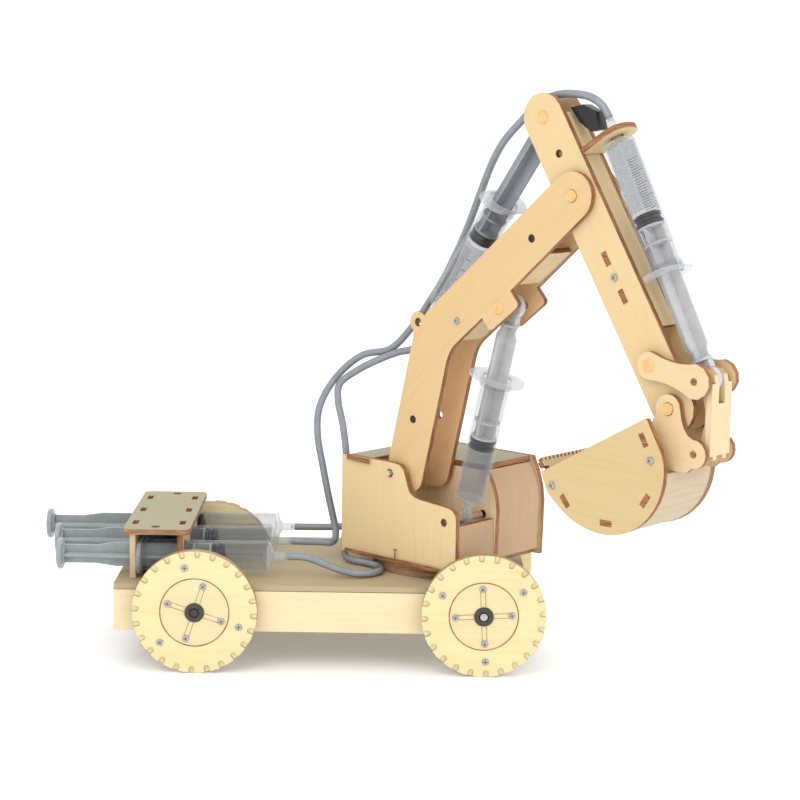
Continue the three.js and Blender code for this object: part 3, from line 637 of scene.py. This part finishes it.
# The routes, first in places on the chassis and then in places in the turret
HOSE_WAYS = {
    "hose_stick": (
        [
            (-29.4, -37, 58),
            (-19, -37.2, 57.6),
            (-7, -38.4, 53.6),
            (3, -39.3, 50.4),
            (13, -38.5, 49.4),
            (20.5, -31.5, 49.3),
            (20.5, -21.5, 49.3),
            (14, -13, 49.3),
            (6, -7, 49.3),
            (2.2, -1.5, 49.6),
            (0.8, 3.6, 51.8),
            (0.6, 6.6, 57),
            (1, 7.6, 66),
            (1.4, 8, 84),
            (1.2, 8.5, 104),
            (-1, 11, 122),
            (-4, 14.5, 136),
            (-3.5, 14.5, 145),
            (6, 9.5, 153.6),
        ],
        [
            (-26, -22, 162.5),
            (-16, -20, 166.5),
            (-7, BAY_MID, 168.8),
            (0, BAY_MID, 172.6),
            (3.3, BAY_MID, 178.7),
        ],
    ),
    "hose_bucket": (
        [
            (-29.4, 0, 58),
            (-19, 0, 57.9),
            (-11, 0.8, 57.5),
            (-7.5, 2, 57),
            (-5, 7.5, 57.4),
            (-4.6, 13, 61.5),
            (-6.5, 15.5, 70),
            (-9, 16, 81),
            (-12, 16.5, 96),
            (-15.5, 17, 116),
            (-15, 18, 130),
            (-10, 18.5, 142),
            (-1, 18, 153.6),
            (10, 12, 162.6),
        ],
        [
            (-24, -18, 167.4),
            (-11, -15, 180.5),
            (1, -14, 196),
            (11, -13, 211),
            (25, -14, 234),
            (38, -16, 259),
            (46, -18, 272.5),
            (55, BAY_MID, 284),
            (66, BAY_MID, 294.5),
            (77, BAY_MID, 303.5),
            (88, BAY_MID, 308.4),
            (101, BAY_MID, 309.2),
            (111, BAY_MID, 307.6),
            (117.6, BAY_MID, 303.8),
            (122.1, BAY_MID, 298),
        ],
    ),
    "hose_boom": (
        [
            (-29.4, 37, 58),
            (-17, 36.8, 58),
            (-6, 35.4, 58.6),
            (2, 31.8, 60.2),
            (9, 26, 62.6),
        ],
        [
            (-41, -12, 64),
            (-30, -13, 64),
            (-10, -17, 62),
            (6, BAY_MID, 60),
            (20, BAY_MID, 59.6),
            (28.4, BAY_MID, 63),
            (31.6, BAY_MID, 71.8),
        ],
    ),
}


def smooth_way(points):
    """Points about WAY_STEP apart on the centripetal curve through the given ones."""
    ends = [points[0] * 2 - points[1], *points, points[-1] * 2 - points[-2]]
    out = []
    for p0, p1, p2, p3 in zip(ends, ends[1:], ends[2:], ends[3:]):
        t1 = max(1e-9, (p1 - p0).length ** 0.5)
        t2 = t1 + max(1e-9, (p2 - p1).length ** 0.5)
        t3 = t2 + max(1e-9, (p3 - p2).length ** 0.5)
        count = max(1, round((p2 - p1).length / (WAY_STEP * MM)))
        for k in range(count):
            t = t1 + (t2 - t1) * k / count
            a1 = p0 * ((t1 - t) / t1) + p1 * (t / t1)
            a2 = p1 * ((t2 - t) / (t2 - t1)) + p2 * ((t - t1) / (t2 - t1))
            a3 = p2 * ((t3 - t) / (t3 - t2)) + p3 * ((t - t2) / (t3 - t2))
            b1 = a1 * ((t2 - t) / t2) + a2 * (t / t2)
            b2 = a2 * ((t3 - t) / (t3 - t1)) + a3 * ((t - t1) / (t3 - t1))
            out.append(b1 * ((t2 - t) / (t2 - t1)) + b2 * ((t - t1) / (t2 - t1)))
    out.append(points[-1].copy())
    return out


def tube(way, radius, steps=16):
    """A closed tube mesh along a way, with a section that doesn't twist."""
    bm = bmesh.new()
    ahead = (way[1] - way[0]).normalized()
    side = ahead.orthogonal().normalized()
    rings = []
    for i, p in enumerate(way):
        before, after = way[max(i - 1, 0)], way[min(i + 1, len(way) - 1)]
        new = (after - before).normalized()
        side = (ahead.rotation_difference(new) @ side).normalized()
        ahead = new
        other = ahead.cross(side)
        ring = []
        for k in range(steps):
            t = 2 * math.pi * k / steps
            ring.append(bm.verts.new(p + (side * math.cos(t) + other * math.sin(t)) * radius))
        rings.append(ring)
    for low, high in zip(rings, rings[1:]):
        for k in range(steps):
            j = (k + 1) % steps
            bm.faces.new((low[k], low[j], high[j], high[k]))
    bm.faces.new(list(reversed(rings[0])))
    bm.faces.new(rings[-1])
    return bm


HOSE_JOINTS = {
    # For each stretch: its first and last point, the body before and the body after, and the
    # points between which it turns from one to the other. Points are counted along the route.
    "hose_stick": [
        (0, 17, "chassis", "turret", 10, 17),
        (17, 23, "turret", "boom", 17, 21),
    ],
    "hose_bucket": [
        (0, 11, "chassis", "turret", 5, 11),
        (11, 18, "turret", "boom", 11, 16),
        (18, 28, "boom", "stick", 18, 23),
    ],
    "hose_boom": [
        (0, 6, "chassis", "turret", 2, 5),
        (6, 11, "turret", "boom_syringe_barrel", 8, 11),
    ],
}
HOSE_NAMES = ("lower", "middle", "upper")


def make_hoses():
    """Each hose is cut where it passes a joint, and every stretch goes on from the one before."""
    for node, stretches in HOSE_JOINTS.items():
        on_chassis, in_turret = HOSE_WAYS[node]
        points = [chassis_at(*p) for p in on_chassis] + [turret_at(*p) for p in in_turret]
        whole = smooth_way(points)
        nearest = [
            min(range(len(whole)), key=lambda k, p=p: (whole[k] - p).length) for p in points
        ]
        for label, (first, last, before, after, turn_from, turn_to) in zip(HOSE_NAMES, stretches):
            way = whole[nearest[first] : nearest[last] + 1]
            name = node + "_" + label
            data = finished(tube(way, HOSE_D / 2 * MM), Matrix.Identity(4), name)
            for p in data.polygons:
                p.use_smooth = True
            data.set_sharp_from_angle(angle=HOSE_SHARP)
            data.materials.append(HOSE)
            made = bpy.data.objects.new(name, data)
            bpy.context.scene.collection.objects.link(made)
            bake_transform(made)
            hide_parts(node)


make_hoses()


# ---------------------------------------------------------------- screws and pins
SCREW_SUNK = 0.3


def both(name, first, second, first_material, second_material, matrix, body):
    """One piece of two materials: a shape and what is set into it."""
    count = len(first.faces)
    bm = merged((first, Matrix.Identity(4)), (second, Matrix.Identity(4)))
    made = piece(name, finished(bm, matrix, name), first_material, body)
    made.data.materials.append(second_material)
    for p in made.data.polygons[count:]:
        p.material_index = 1
    return made


def screw(name, at, out, body, r, turn, tall=1.2):
    """A small cross-head screw standing out of a face, its cross a thin block of darker zinc as painted
    shade for the recess.
    """
    head = turned(
        [
            (0, -SCREW_SUNK),
            (r, -SCREW_SUNK),
            (r, tall * 0.35),
            (r * 0.82, tall * 0.8),
            (r * 0.4, tall),
            (0, tall),
        ],
        24,
    )
    cross = merged(
        (box_cut(r * 1.25, r * 0.26, 0.3), moved(0, 0, tall - 0.27)),
        (box_cut(r * 0.26, r * 1.25, 0.3), moved(0, 0, tall - 0.27)),
    )
    place = axes_at(at, out) @ Matrix.Rotation(math.radians(turn), 4, "Z")
    return both(name, head, cross, STEEL, GROOVE_PAINTED_SHADE, place, body)


def pin(name, point, r, low, high, body, material):
    """A round pin across the arm, with slightly rounded ends."""
    long = high - low
    bm = turned([(0, 0), (r * 0.8, 0), (r, 0.3), (r, long - 0.3), (r * 0.8, long), (0, long)], 24)
    place = axes_at(arm_at(point, low), ACROSS)
    return piece(name, finished(bm, place, name), material, body)


# ---------------------------------------------------------------- wheels
WHEEL_R = 33.3
AXLE_HIGH = 33.5
AXLE_X = 77
WHEEL_INNER = 59.5
WHEEL_THICK = 5.9
FACE_LAYER = 0.9
NOTCHES = 24
NOTCH_HALF = 1.5
NOTCH_DEEP = 3.7
HUB_R = 18.4
HUB_SCREWS_R = 15.0
RIM_SCREWS_R = 24.8
WHEEL_SCREW_R = 1.95
WHEEL_SCREW_TALL = 1.1
BUSH_R = 5.2


def notched_rim(offset_deg):
    """A round plate with U notches opening outwards."""
    step = 360 / NOTCHES
    half = NOTCH_HALF
    floor_r = WHEEL_R - NOTCH_DEEP + half
    out = []
    for i in range(NOTCHES):
        mid = math.radians(i * step + offset_deg)
        c, s = math.cos(mid), math.sin(mid)

        def at(r, side, c=c, s=s):
            return (r * c - side * s, r * s + side * c)

        rim = math.sqrt(WHEEL_R**2 - half**2)
        out.append(at(rim, -half))
        for k in range(9):
            t = math.pi * k / 8
            out.append(at(floor_r - half * math.sin(t), -half * math.cos(t)))
        out.append(at(rim, half))
        edge = math.degrees(math.asin(half / WHEEL_R))
        for k in range(1, 5):
            t = math.radians(i * step + offset_deg + edge + (step - 2 * edge) * k / 5)
            out.append((WHEEL_R * math.cos(t), WHEEL_R * math.sin(t)))
    return out


def scorched_lines(turn):
    """The burnt circle round the hub disc and the cross cut into it."""
    ring = sheet_cut([ring_points(HUB_R + 0.28, 96), ring_points(HUB_R - 0.28, 96)], 0.12)
    parts = [(ring, Matrix.Identity(4))]
    for k in range(4):
        spin = Matrix.Rotation(math.radians(turn + 90 * k), 4, "Z")
        for side in (-1.25, 1.25):
            parts.append((box_cut(8.2, 0.26, 0.12), spin @ moved(9.6, side, 0)))
        parts.append((box_cut(0.26, 2.5, 0.12), spin @ moved(13.6, 0, 0)))
    return merged(*parts)


def make_wheel(node, body, x, side, hub_turn, rim_turn):
    """One wheel. side is -1 for the wheel next to the camera and 1 for the far one."""
    out = Y_AXIS * side
    centre = chassis_at(x, side * WHEEL_INNER, AXLE_HIGH)
    inner = axes_at(centre, out, X_AXIS * -side)
    tall = WHEEL_THICK
    holes = [ring_points(2.3, 24)]
    plain = tall - FACE_LAYER
    back = sheet_cut([ring_points(WHEEL_R - 0.25, 144), *holes], plain, 0.12)
    front = sheet_cut([notched_rim(hub_turn), ring_points(HUB_R, 64)], FACE_LAYER, 0.1)
    disc = sheet_cut([ring_points(HUB_R - 0.15, 64), *holes], FACE_LAYER, 0.1)
    tread = piece(node + "_back_layer", finished(back, inner), WHEEL, body)
    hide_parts(node)
    up = inner @ moved(z=plain + 0.05)
    piece(node + "_front_layer", finished(front, up), WHEEL_FACE, body)
    piece(node + "_hub_disc", finished(disc, up), HUB_WOOD, body)
    top = inner @ moved(z=tall + 0.05)
    lines = finished(scorched_lines(hub_turn), top)
    piece(node + "_cut_lines", lines, TAN_LINE, body)
    lip = (BUSH_R - 0.5, 1.25)
    bush = turned(
        [(0, -1), (BUSH_R, -1), (BUSH_R, 0.75), lip, (2.7, 1.25), (2.2, 0.6), (0, 0.6)],
        48,
    )
    piece(node + "_bush", finished(bush, top), HUB_BLACK, body)
    for label, count, r, start, slope, offset in (
        ("hub", 4, HUB_SCREWS_R, hub_turn, 30, 15),
        ("rim", 3, RIM_SCREWS_R, rim_turn, 40, 5),
    ):
        for k in range(count):
            t = math.radians(start + 360 / count * k)
            at = top @ (Vector((r * math.cos(t), r * math.sin(t), 0)) * MM)
            turn = slope * k + offset
            name = f"{node}_{label}_screw_{k}"
            screw(name, at, out, body, WHEEL_SCREW_R, turn, WHEEL_SCREW_TALL)


def make_wheels():
    for end, x, hub_turn, rim_turn in (("rear", -AXLE_X, -18, 102), ("front", AXLE_X, 3, 33)):
        body = "axle_" + end + "_set"
        for side_name, side in (("near", -1), ("far", 1)):
            node = "wheel_" + end + "_" + side_name
            make_wheel(node, body, x, side, hub_turn, rim_turn)


make_wheels()


# ---------------------------------------------------------------- syringes
BARREL_R = 8.25
BARREL_BORE = 7.35
TUBE_LONG = 71
SEAL_R = 7.1
MARK_STEP = 1.35
MARK_HALF = 0.17
FIN_HALF = 6.6
FIN_SLIM = 5.0
FIN_THICK = 1.3
ROD_LOW = 7.6
EYE_R = 6.2
EYE_BORE = 3.9
EYE_THICK = 4.2


def stadium(long_x, long_y):
    """An oval flange outline, straight along its longer way."""
    r = min(long_x, long_y) / 2
    run_x, run_y = long_x / 2 - r, long_y / 2 - r
    out = []
    for i in range(48):
        t = 2 * math.pi * i / 48
        sx = run_x if math.cos(t) > 0 else -run_x
        sy = run_y if math.sin(t) > 0 else -run_y
        out.append((sx + r * math.cos(t), sy + r * math.sin(t)))
    return out


def barrel_finish(mesh_data, matrix, low, water_to, long, wet):
    """Gives the bore that holds water, the nozzle and the flange their own materials."""
    mesh_data.materials.append(wet)
    mesh_data.materials.append(TIP)
    back = matrix.inverted()
    for p in mesh_data.polygons:
        middle = back @ p.center
        across = math.hypot(middle.x, middle.y) / MM
        up = middle.z / MM
        if 6 < across < BARREL_BORE + 0.2 and low < up < water_to:
            p.material_index = 1
        if up < low + 1.5 or up > long - 2.1:
            p.material_index = 2


def barrel_shape(nozzle_low, long, water_to, flange_x, flange_y):
    """A clear barrel: nozzle, shoulder, open tube, and an oval finger flange at its end."""
    shoulder = long - TUBE_LONG
    tube_part = turned(
        [
            (0, nozzle_low + 1.5),
            (1.2, nozzle_low + 1.5),
            (1.2, nozzle_low),
            (2.0, nozzle_low),
            (2.35, shoulder - 3),
            (3.6, shoulder - 1.6),
            (BARREL_R - 1.2, shoulder - 0.6),
            (BARREL_R, shoulder + 0.8),
            (BARREL_R, long - 0.2),
            (BARREL_BORE, long - 0.2),
            (BARREL_BORE, water_to),
            (BARREL_BORE, shoulder + 1.6),
            (2.0, shoulder + 0.6),
            (0, shoulder + 0.6),
        ],
        48,
    )
    rim = sheet_cut([stadium(flange_x, flange_y), ring_points(BARREL_R - 0.1, 48)], 1.9, 0.25)
    inside = BARREL_R - 0.05
    collar = turned(
        [(inside, 0), (BARREL_R + 0.7, 0), (BARREL_R + 0.35, 3.2), (inside, 3.2), (inside, 0)],
        48,
    )
    return merged(
        (tube_part, Matrix.Identity(4)),
        (rim, moved(z=long - 1.95)),
        (collar, moved(z=long - 5.2)),
    )


def mark_shape(facing_deg, low, high):
    """Printed measuring lines round part of the barrel, every fifth one longer."""
    bm = bmesh.new()
    steps = 8
    count = int((high - low) / MARK_STEP)
    for k in range(count + 1):
        z = (low + k * MARK_STEP) * MM
        wide = 46 if k % 5 == 0 else 30
        thick = MARK_HALF * MM
        rings = []
        for r in (BARREL_R + 0.02, BARREL_R + 0.07):
            for dz in (-thick, thick):
                row = []
                for i in range(steps + 1):
                    t = math.radians(facing_deg + wide * i / steps)
                    row.append(bm.verts.new((r * MM * math.cos(t), r * MM * math.sin(t), z + dz)))
                rings.append(row)
        inner_low, inner_high, outer_low, outer_high = rings
        for i in range(steps):
            bm.faces.new((outer_low[i], outer_low[i + 1], outer_high[i + 1], outer_high[i]))
            bm.faces.new((inner_low[i + 1], inner_low[i], inner_high[i], inner_high[i + 1]))
            bm.faces.new((outer_high[i], outer_high[i + 1], inner_high[i + 1], inner_high[i]))
            bm.faces.new((outer_low[i + 1], outer_low[i], inner_low[i], inner_low[i + 1]))
        for i in (0, steps):
            ends = (inner_low[i], outer_low[i], outer_high[i], inner_high[i])
            bm.faces.new(ends if i == 0 else tuple(reversed(ends)))
    return bm


STAND_UP = Matrix.Rotation(math.radians(90), 4, "X")


def rod_shape(low, high, slim_for):
    """The cross-shaped stem of a plunger: fins that narrow near the end, and its discs."""
    wide = FIN_HALF
    slim = FIN_SLIM
    side = [(wide, low), (wide, high - slim_for * 1.6), (slim, high - slim_for), (slim, high)]
    outline = side + [(-x, z) for x, z in reversed(side)]
    parts = []
    for turn in (0, 90):
        spin = Matrix.Rotation(math.radians(turn), 4, "Z")
        stand_up = moved(y=FIN_THICK / 2) @ STAND_UP
        parts.append((sheet_cut([outline], FIN_THICK), spin @ stand_up))
    for z, r in ((low, wide + 0.2), (low + 9, wide + 0.2), (high - 1.2, slim + 0.6)):
        web = turned([(0, 0), (r, 0), (r, 1.2), (0, 1.2)], 32)
        parts.append((web, moved(z=z)))
    return merged(*parts)


def seal_shape():
    """A rubber seal with two sealing ribs and a pointed face."""
    return turned(
        [
            (0, 0),
            (SEAL_R - 1.2, 1.3),
            (SEAL_R, 1.9),
            (SEAL_R, 3.1),
            (SEAL_R - 0.7, 3.7),
            (SEAL_R - 0.7, 5.2),
            (SEAL_R, 5.8),
            (SEAL_R, 7.2),
            (SEAL_R - 1.0, 7.9),
            (0, 7.9),
        ],
        40,
    )


def plunger(name, body, matrix, rod, material):
    """A plunger's rod, in the place of the CAD's, and its rubber seal."""
    made = piece(name + "_rod", finished(rod, matrix, name), material, body)
    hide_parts(name)
    piece(name + "_seal", finished(seal_shape(), matrix, name), BLACK, body)


def arm_axes(p, q):
    """Z from p to q in the plane of the arm, and Y across it."""
    z = arm_at(q) - arm_at(p)
    x = ACROSS.cross(z)
    return axes_at(arm_at(p), z, x)


def make_working_syringe(name, base, end, long, rod_long, flanges, pin_half, mark_deg, material):
    """A syringe of the arm: its barrel turns on the base pivot, its plunger's eye holds the end pivot."""
    matrix = arm_axes(base, end)
    reach = (arm_at(end) - arm_at(base)).length / MM
    barrel_body = name + "_syringe_barrel"
    plunger_body = name + "_syringe_plunger"
    water_to = reach - rod_long
    shape = barrel_shape(-9, long, water_to, *flanges)
    barrel = piece(name + "_barrel_shell", finished(shape, matrix), CLEAR, barrel_body)
    barrel_finish(barrel.data, matrix, long - TUBE_LONG, water_to, long, WET)
    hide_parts(name + "_barrel")
    marks = mark_shape(mark_deg, long - TUBE_LONG + 8, long - 30)
    piece(name + "_barrel_marks", finished(marks, matrix), INK, barrel_body)
    if pin_half:
        low, high = BAY_MID - pin_half, BAY_MID + pin_half
        pin(name + "_base_pin", base, 1.9, low, high, barrel_body, LINK_PIN)
        ring = turned([(2.45, -2.4), (4.1, -2.4), (4.1, 2.4), (2.45, 2.4), (2.45, -2.4)], 32)
        piece(name + "_base_ring", finished(ring, matrix), TIP, barrel_body)
    eye = sheet_cut([ring_points(EYE_R, 40), ring_points(EYE_BORE, 32)], EYE_THICK, 0.3)
    neck = box_cut(9.5, EYE_THICK, 6.0)
    rod = merged(
        (rod_shape(ROD_LOW, rod_long - 9, 5), Matrix.Identity(4)),
        (eye, moved(0, EYE_THICK / 2, rod_long) @ STAND_UP),
        (neck, moved(z=rod_long - 11)),
    )
    place = matrix @ moved(z=water_to)
    plunger(name + "_plunger", plunger_body, place, rod, material)


BARREL_LONG = 82
CONTROL_END_X = -109.8
CONTROL_HIGH = 58
CONTROL_GAP = 37
CONTROL_ROD = 88.6
THUMB_TO_SEAL = 91.5


def make_control_syringe(side, y, thumb_x):
    """A syringe of the control stand, nozzle forwards. thumb_x is where its thumb plate is."""
    name = "control_barrel_" + side
    long = BARREL_LONG
    nozzle_x = long + CONTROL_END_X
    seal_x = thumb_x + THUMB_TO_SEAL
    back = axes_at(chassis_at(nozzle_x, y, CONTROL_HIGH), -X_AXIS, UP)
    water_to = nozzle_x - seal_x
    shape = barrel_shape(2, long, water_to, 17, 30)
    barrel = piece(name + "_shell", finished(shape, back), CLEAR, "chassis")
    barrel_finish(barrel.data, back, long - TUBE_LONG, water_to, long, WET_THIN)
    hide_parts(name)
    marks = mark_shape(92, long - TUBE_LONG + 5, long - 46)
    piece(name + "_marks", finished(marks, back), INK, "chassis")
    thumb = turned(
        [(0, 0), (8.0, 0), (8.5, 0.5), (8.5, 2.2), (8.0, 2.7), (7.0, 2.7), (6.4, 2.1), (0, 2.1)],
        40,
    )
    rod = merged(
        (rod_shape(ROD_LOW, CONTROL_ROD, 18), Matrix.Identity(4)),
        (thumb, moved(z=CONTROL_ROD)),
    )
    tip = axes_at(chassis_at(seal_x, y, CONTROL_HIGH), -X_AXIS, UP)
    plunger("control_plunger_" + side, "control_plunger_" + side, tip, rod, MILKY)


def make_syringes():
    long = BARREL_LONG
    make_working_syringe("boom", S_BASE, C_LUG, long, 82, (31, 24), 13, 80, PALE)
    make_working_syringe("stick", D_BOSS, T_TOP, long, 82, (18, 30), 8.9, 262, SMOKY)
    make_working_syringe("bucket", E_HOLDER, P1_LINK, 75.5, 88.5, (18, 30), 0, 60, PALE)
    for i, (side, thumb_x) in enumerate((("near", -154), ("middle", -161), ("far", -172))):
        make_control_syringe(side, CONTROL_GAP * (i - 1), thumb_x)


make_syringes()


# ---------------------------------------------------------------- small parts of the arm
PLY = 3
BOOM_HALF = 12.5
STICK_HALF = 9
LINK_HALF = 13.2
BUCKET_HALF = 22.5
PANEL_FACE = -39.1
TAB_LONG = 7.2
TAB_WIDE = 2.9
PEG_R = 1.1
BOLT_R = 1.7
CAP_R = 3.3
NEAR = -ACROSS


def near_face(point, half):
    """A place on the face that looks out on the near side of the arm."""
    return arm_at(point, BAY_MID - half)


def slot_tab(name, point, deg, half, body):
    """The burnt end of a tab that shows in a slot of a near plate."""
    t = math.radians(deg)
    u = FORWARD * math.cos(t) + UP * math.sin(t)
    place = axes_at(near_face(point, half - PLY + 0.15), NEAR, u)
    bm = box_cut(TAB_LONG, TAB_WIDE, PLY - 0.2)
    return piece(name, finished(bm, place, name), BURN_LINE, body)


def burnt_mark(name, p, q, wide, half_across, body):
    """A flat burnt mark, or the end of a tab, on a plate's near face from p to q."""
    start = arm_at(p, half_across)
    end = arm_at(q, half_across)
    run = end - start
    place = axes_at((start + end) / 2, NEAR, run)
    bm = box_cut(run.length / MM, wide, 0.25)
    return piece(name, finished(bm, place, name), BURN_LINE, body)


def painted_shade_plug(name, point, body):
    """A black plug in a hole of the near boom plate: painted shade for the dark inside of the hole."""
    bm = turned([(0, 0), (2.0, 0), (2.0, 1.8), (1.6, 2.1), (0, 1.9)], 28)
    place = axes_at(near_face(point, BOOM_HALF - PLY + 0.3), NEAR)
    return piece(name, finished(bm, place, name), BLACK, body)


def make_top_black_block():
    """A black block at the top of the stick, under the bend of the hose."""
    outline = [
        (101.5, 302.2),
        (108, 303.6),
        (115.5, 300.4),
        (118.2, 292.4),
        (113.4, 291.5),
        (106.8, 295.8),
    ]
    bm = sheet_cut([outline], 8, 0.6)
    turn = Matrix((FORWARD, UP, NEAR)).transposed().to_4x4()
    place = Matrix.Translation(arm_at((0, 0), BAY_MID + 4)) @ turn
    return piece("stick_top_black_block", finished(bm, place), BLACK, "stick")


def make_arm_fittings():
    """The burnt marks and tabs, black plugs of painted shade in two boom holes, the black block at the
    stick top, screws, pegs and bolts of the turret, arm and bucket.
    """
    panel = PANEL_FACE
    burnt_mark("roof_tab_end", (-36.5, 107.6), (-19.5, 107.0), 2.6, panel, "turret")
    burnt_mark("panel_mark_stem", (0.4, 60.6), (0.4, 55.2), 0.7, panel, "turret")
    burnt_mark("panel_mark_top", (-0.7, 60.8), (1.5, 60.8), 0.7, panel, "turret")
    burnt_mark("panel_mark_foot", (-0.7, 55), (1.5, 55), 0.7, panel, "turret")
    # Black plugs as painted shade in the two dark holes of the near boom plate.
    painted_shade_plug("boom_hole_shade_upper", (84.7, 236.2), "boom")
    painted_shade_plug("boom_hole_shade_lower", (6, 133.1), "boom")
    screw("boom_screw", near_face((36, 189.5), BOOM_HALF), NEAR, "boom", 1.9, 25)
    burnt_mark("floor_edge_near", (-37.3, 54.6), (36.8, 54.6), 2.4, panel, "turret")
    end = axes_at(arm_at((175.8, 128.3)), UP, FORWARD)
    piece("bucket_shell_end", finished(box_cut(2.5, 38, 0.25), end), BURN_LINE, "bucket")
    make_top_black_block()
    for name, point, half, body in (
        ("peg_stick_top", T_TOP, STICK_HALF, "stick"),
        ("peg_idler", R1_LINK, LINK_HALF, "stick"),
        ("peg_boom_lug", C_LUG, BOOM_HALF, "boom"),
    ):
        pin(name, point, PEG_R, BAY_MID - half, BAY_MID + half, body, DOWEL)
        for side in (-1, 1):
            at = arm_at(point, BAY_MID + side * half)
            cap = turned([(0, 0.02), (CAP_R, 0.02), (CAP_R, 0.4), (CAP_R - 0.5, 0.8), (0, 0.8)], 32)
            label = name + ("_near_cap" if side < 0 else "_far_cap")
            piece(label, finished(cap, axes_at(at, ACROSS * side)), DOWEL, body)
    for name, point, half, body in (
        ("bolt_link", P1_LINK, LINK_HALF, "idler"),
        ("bolt_bucket", P2_LINK, LINK_HALF, "bucket"),
    ):
        low, high = BAY_MID - half - 0.5, BAY_MID + half + 0.5
        pin(name, point, BOLT_R, low, high, body, BURN_LINE)
    for name, point, half, deg, body in (
        ("stick_tab_upper", on_stick(80.5, 0), STICK_HALF, math.degrees(STICK_ANGLE), "stick"),
        ("stick_tab_lower", on_stick(101.5, 0), STICK_HALF, math.degrees(STICK_ANGLE), "stick"),
        ("bucket_tab_lip", (118.1, 106.4), BUCKET_HALF, -51, "bucket"),
        ("bucket_tab_low", (143.9, 99), BUCKET_HALF, 2, "bucket"),
        ("bucket_tab_back", (167, 113.9), BUCKET_HALF, 57, "bucket"),
        ("bucket_tab_top", (164.8, 143.8), BUCKET_HALF, -60, "bucket"),
    ):
        slot_tab(name, point, deg, half, body)
    for name, point, half, body in (
        ("stick_screw", on_stick(91, 0), STICK_HALF, "stick"),
        ("bucket_screw_top", (169.4, 134), BUCKET_HALF, "bucket"),
        ("bucket_screw_lip", (109.8, 113.2), BUCKET_HALF, "bucket"),
    ):
        screw(name, near_face(point, half), NEAR, body, 2.0, 35)


make_arm_fittings()


# ---------------------------------------------------------------- stage
def make_stage():
    """A wide pale floor under the wheels."""
    data = bpy.data.meshes.new("floor")
    size = 3.0
    data.from_pydata(
        [(-size, -size, 0), (size, -size, 0), (size, size, 0), (-size, size, 0)], [], [(0, 1, 2, 3)]
    )
    floor = bpy.data.objects.new("floor", data)
    bpy.context.scene.collection.objects.link(floor)
    s = Shader("floor_paper")
    s.put("Base Color", (0.94, 0.94, 0.94, 1))
    s.put("Roughness", 0.9)
    s.put("Emission Color", (1, 1, 1, 1))
    s.put("Emission Strength", 0.14)
    data.materials.append(s.material)


def area_light(name, at, aim, size, power, colour):
    """A square soft light at one place, turned to another."""
    data = bpy.data.lights.new(name, "AREA")
    data.energy = power
    data.size = size
    data.color = colour
    light = bpy.data.objects.new(name, data)
    light.location = at
    light.rotation_mode = "QUATERNION"
    light.rotation_quaternion = (Vector(aim) - Vector(at)).to_track_quat("-Z", "Y")
    bpy.context.scene.collection.objects.link(light)


def make_light():
    """A bright even surround, a key light and a fill light."""
    world = bpy.data.worlds.new("studio")
    world.use_nodes = True
    background = world.node_tree.nodes["Background"]
    background.inputs["Color"].default_value = (1, 1, 1, 1)
    background.inputs["Strength"].default_value = 1.12
    bpy.context.scene.world = world
    area_light("key", (-0.7, -1.3, 1.5), (0, 0, 0.1), 1.2, 11, (1, 0.98, 0.94))
    area_light("fill", (1.2, -1.0, 0.7), (0, 0, 0.1), 1.4, 7, (0.96, 0.98, 1))
    view = bpy.context.scene.view_settings
    view.view_transform = "Standard"
    view.look = "None"
    view.exposure = 0.0
    view.gamma = 1.0


make_stage()
make_light()
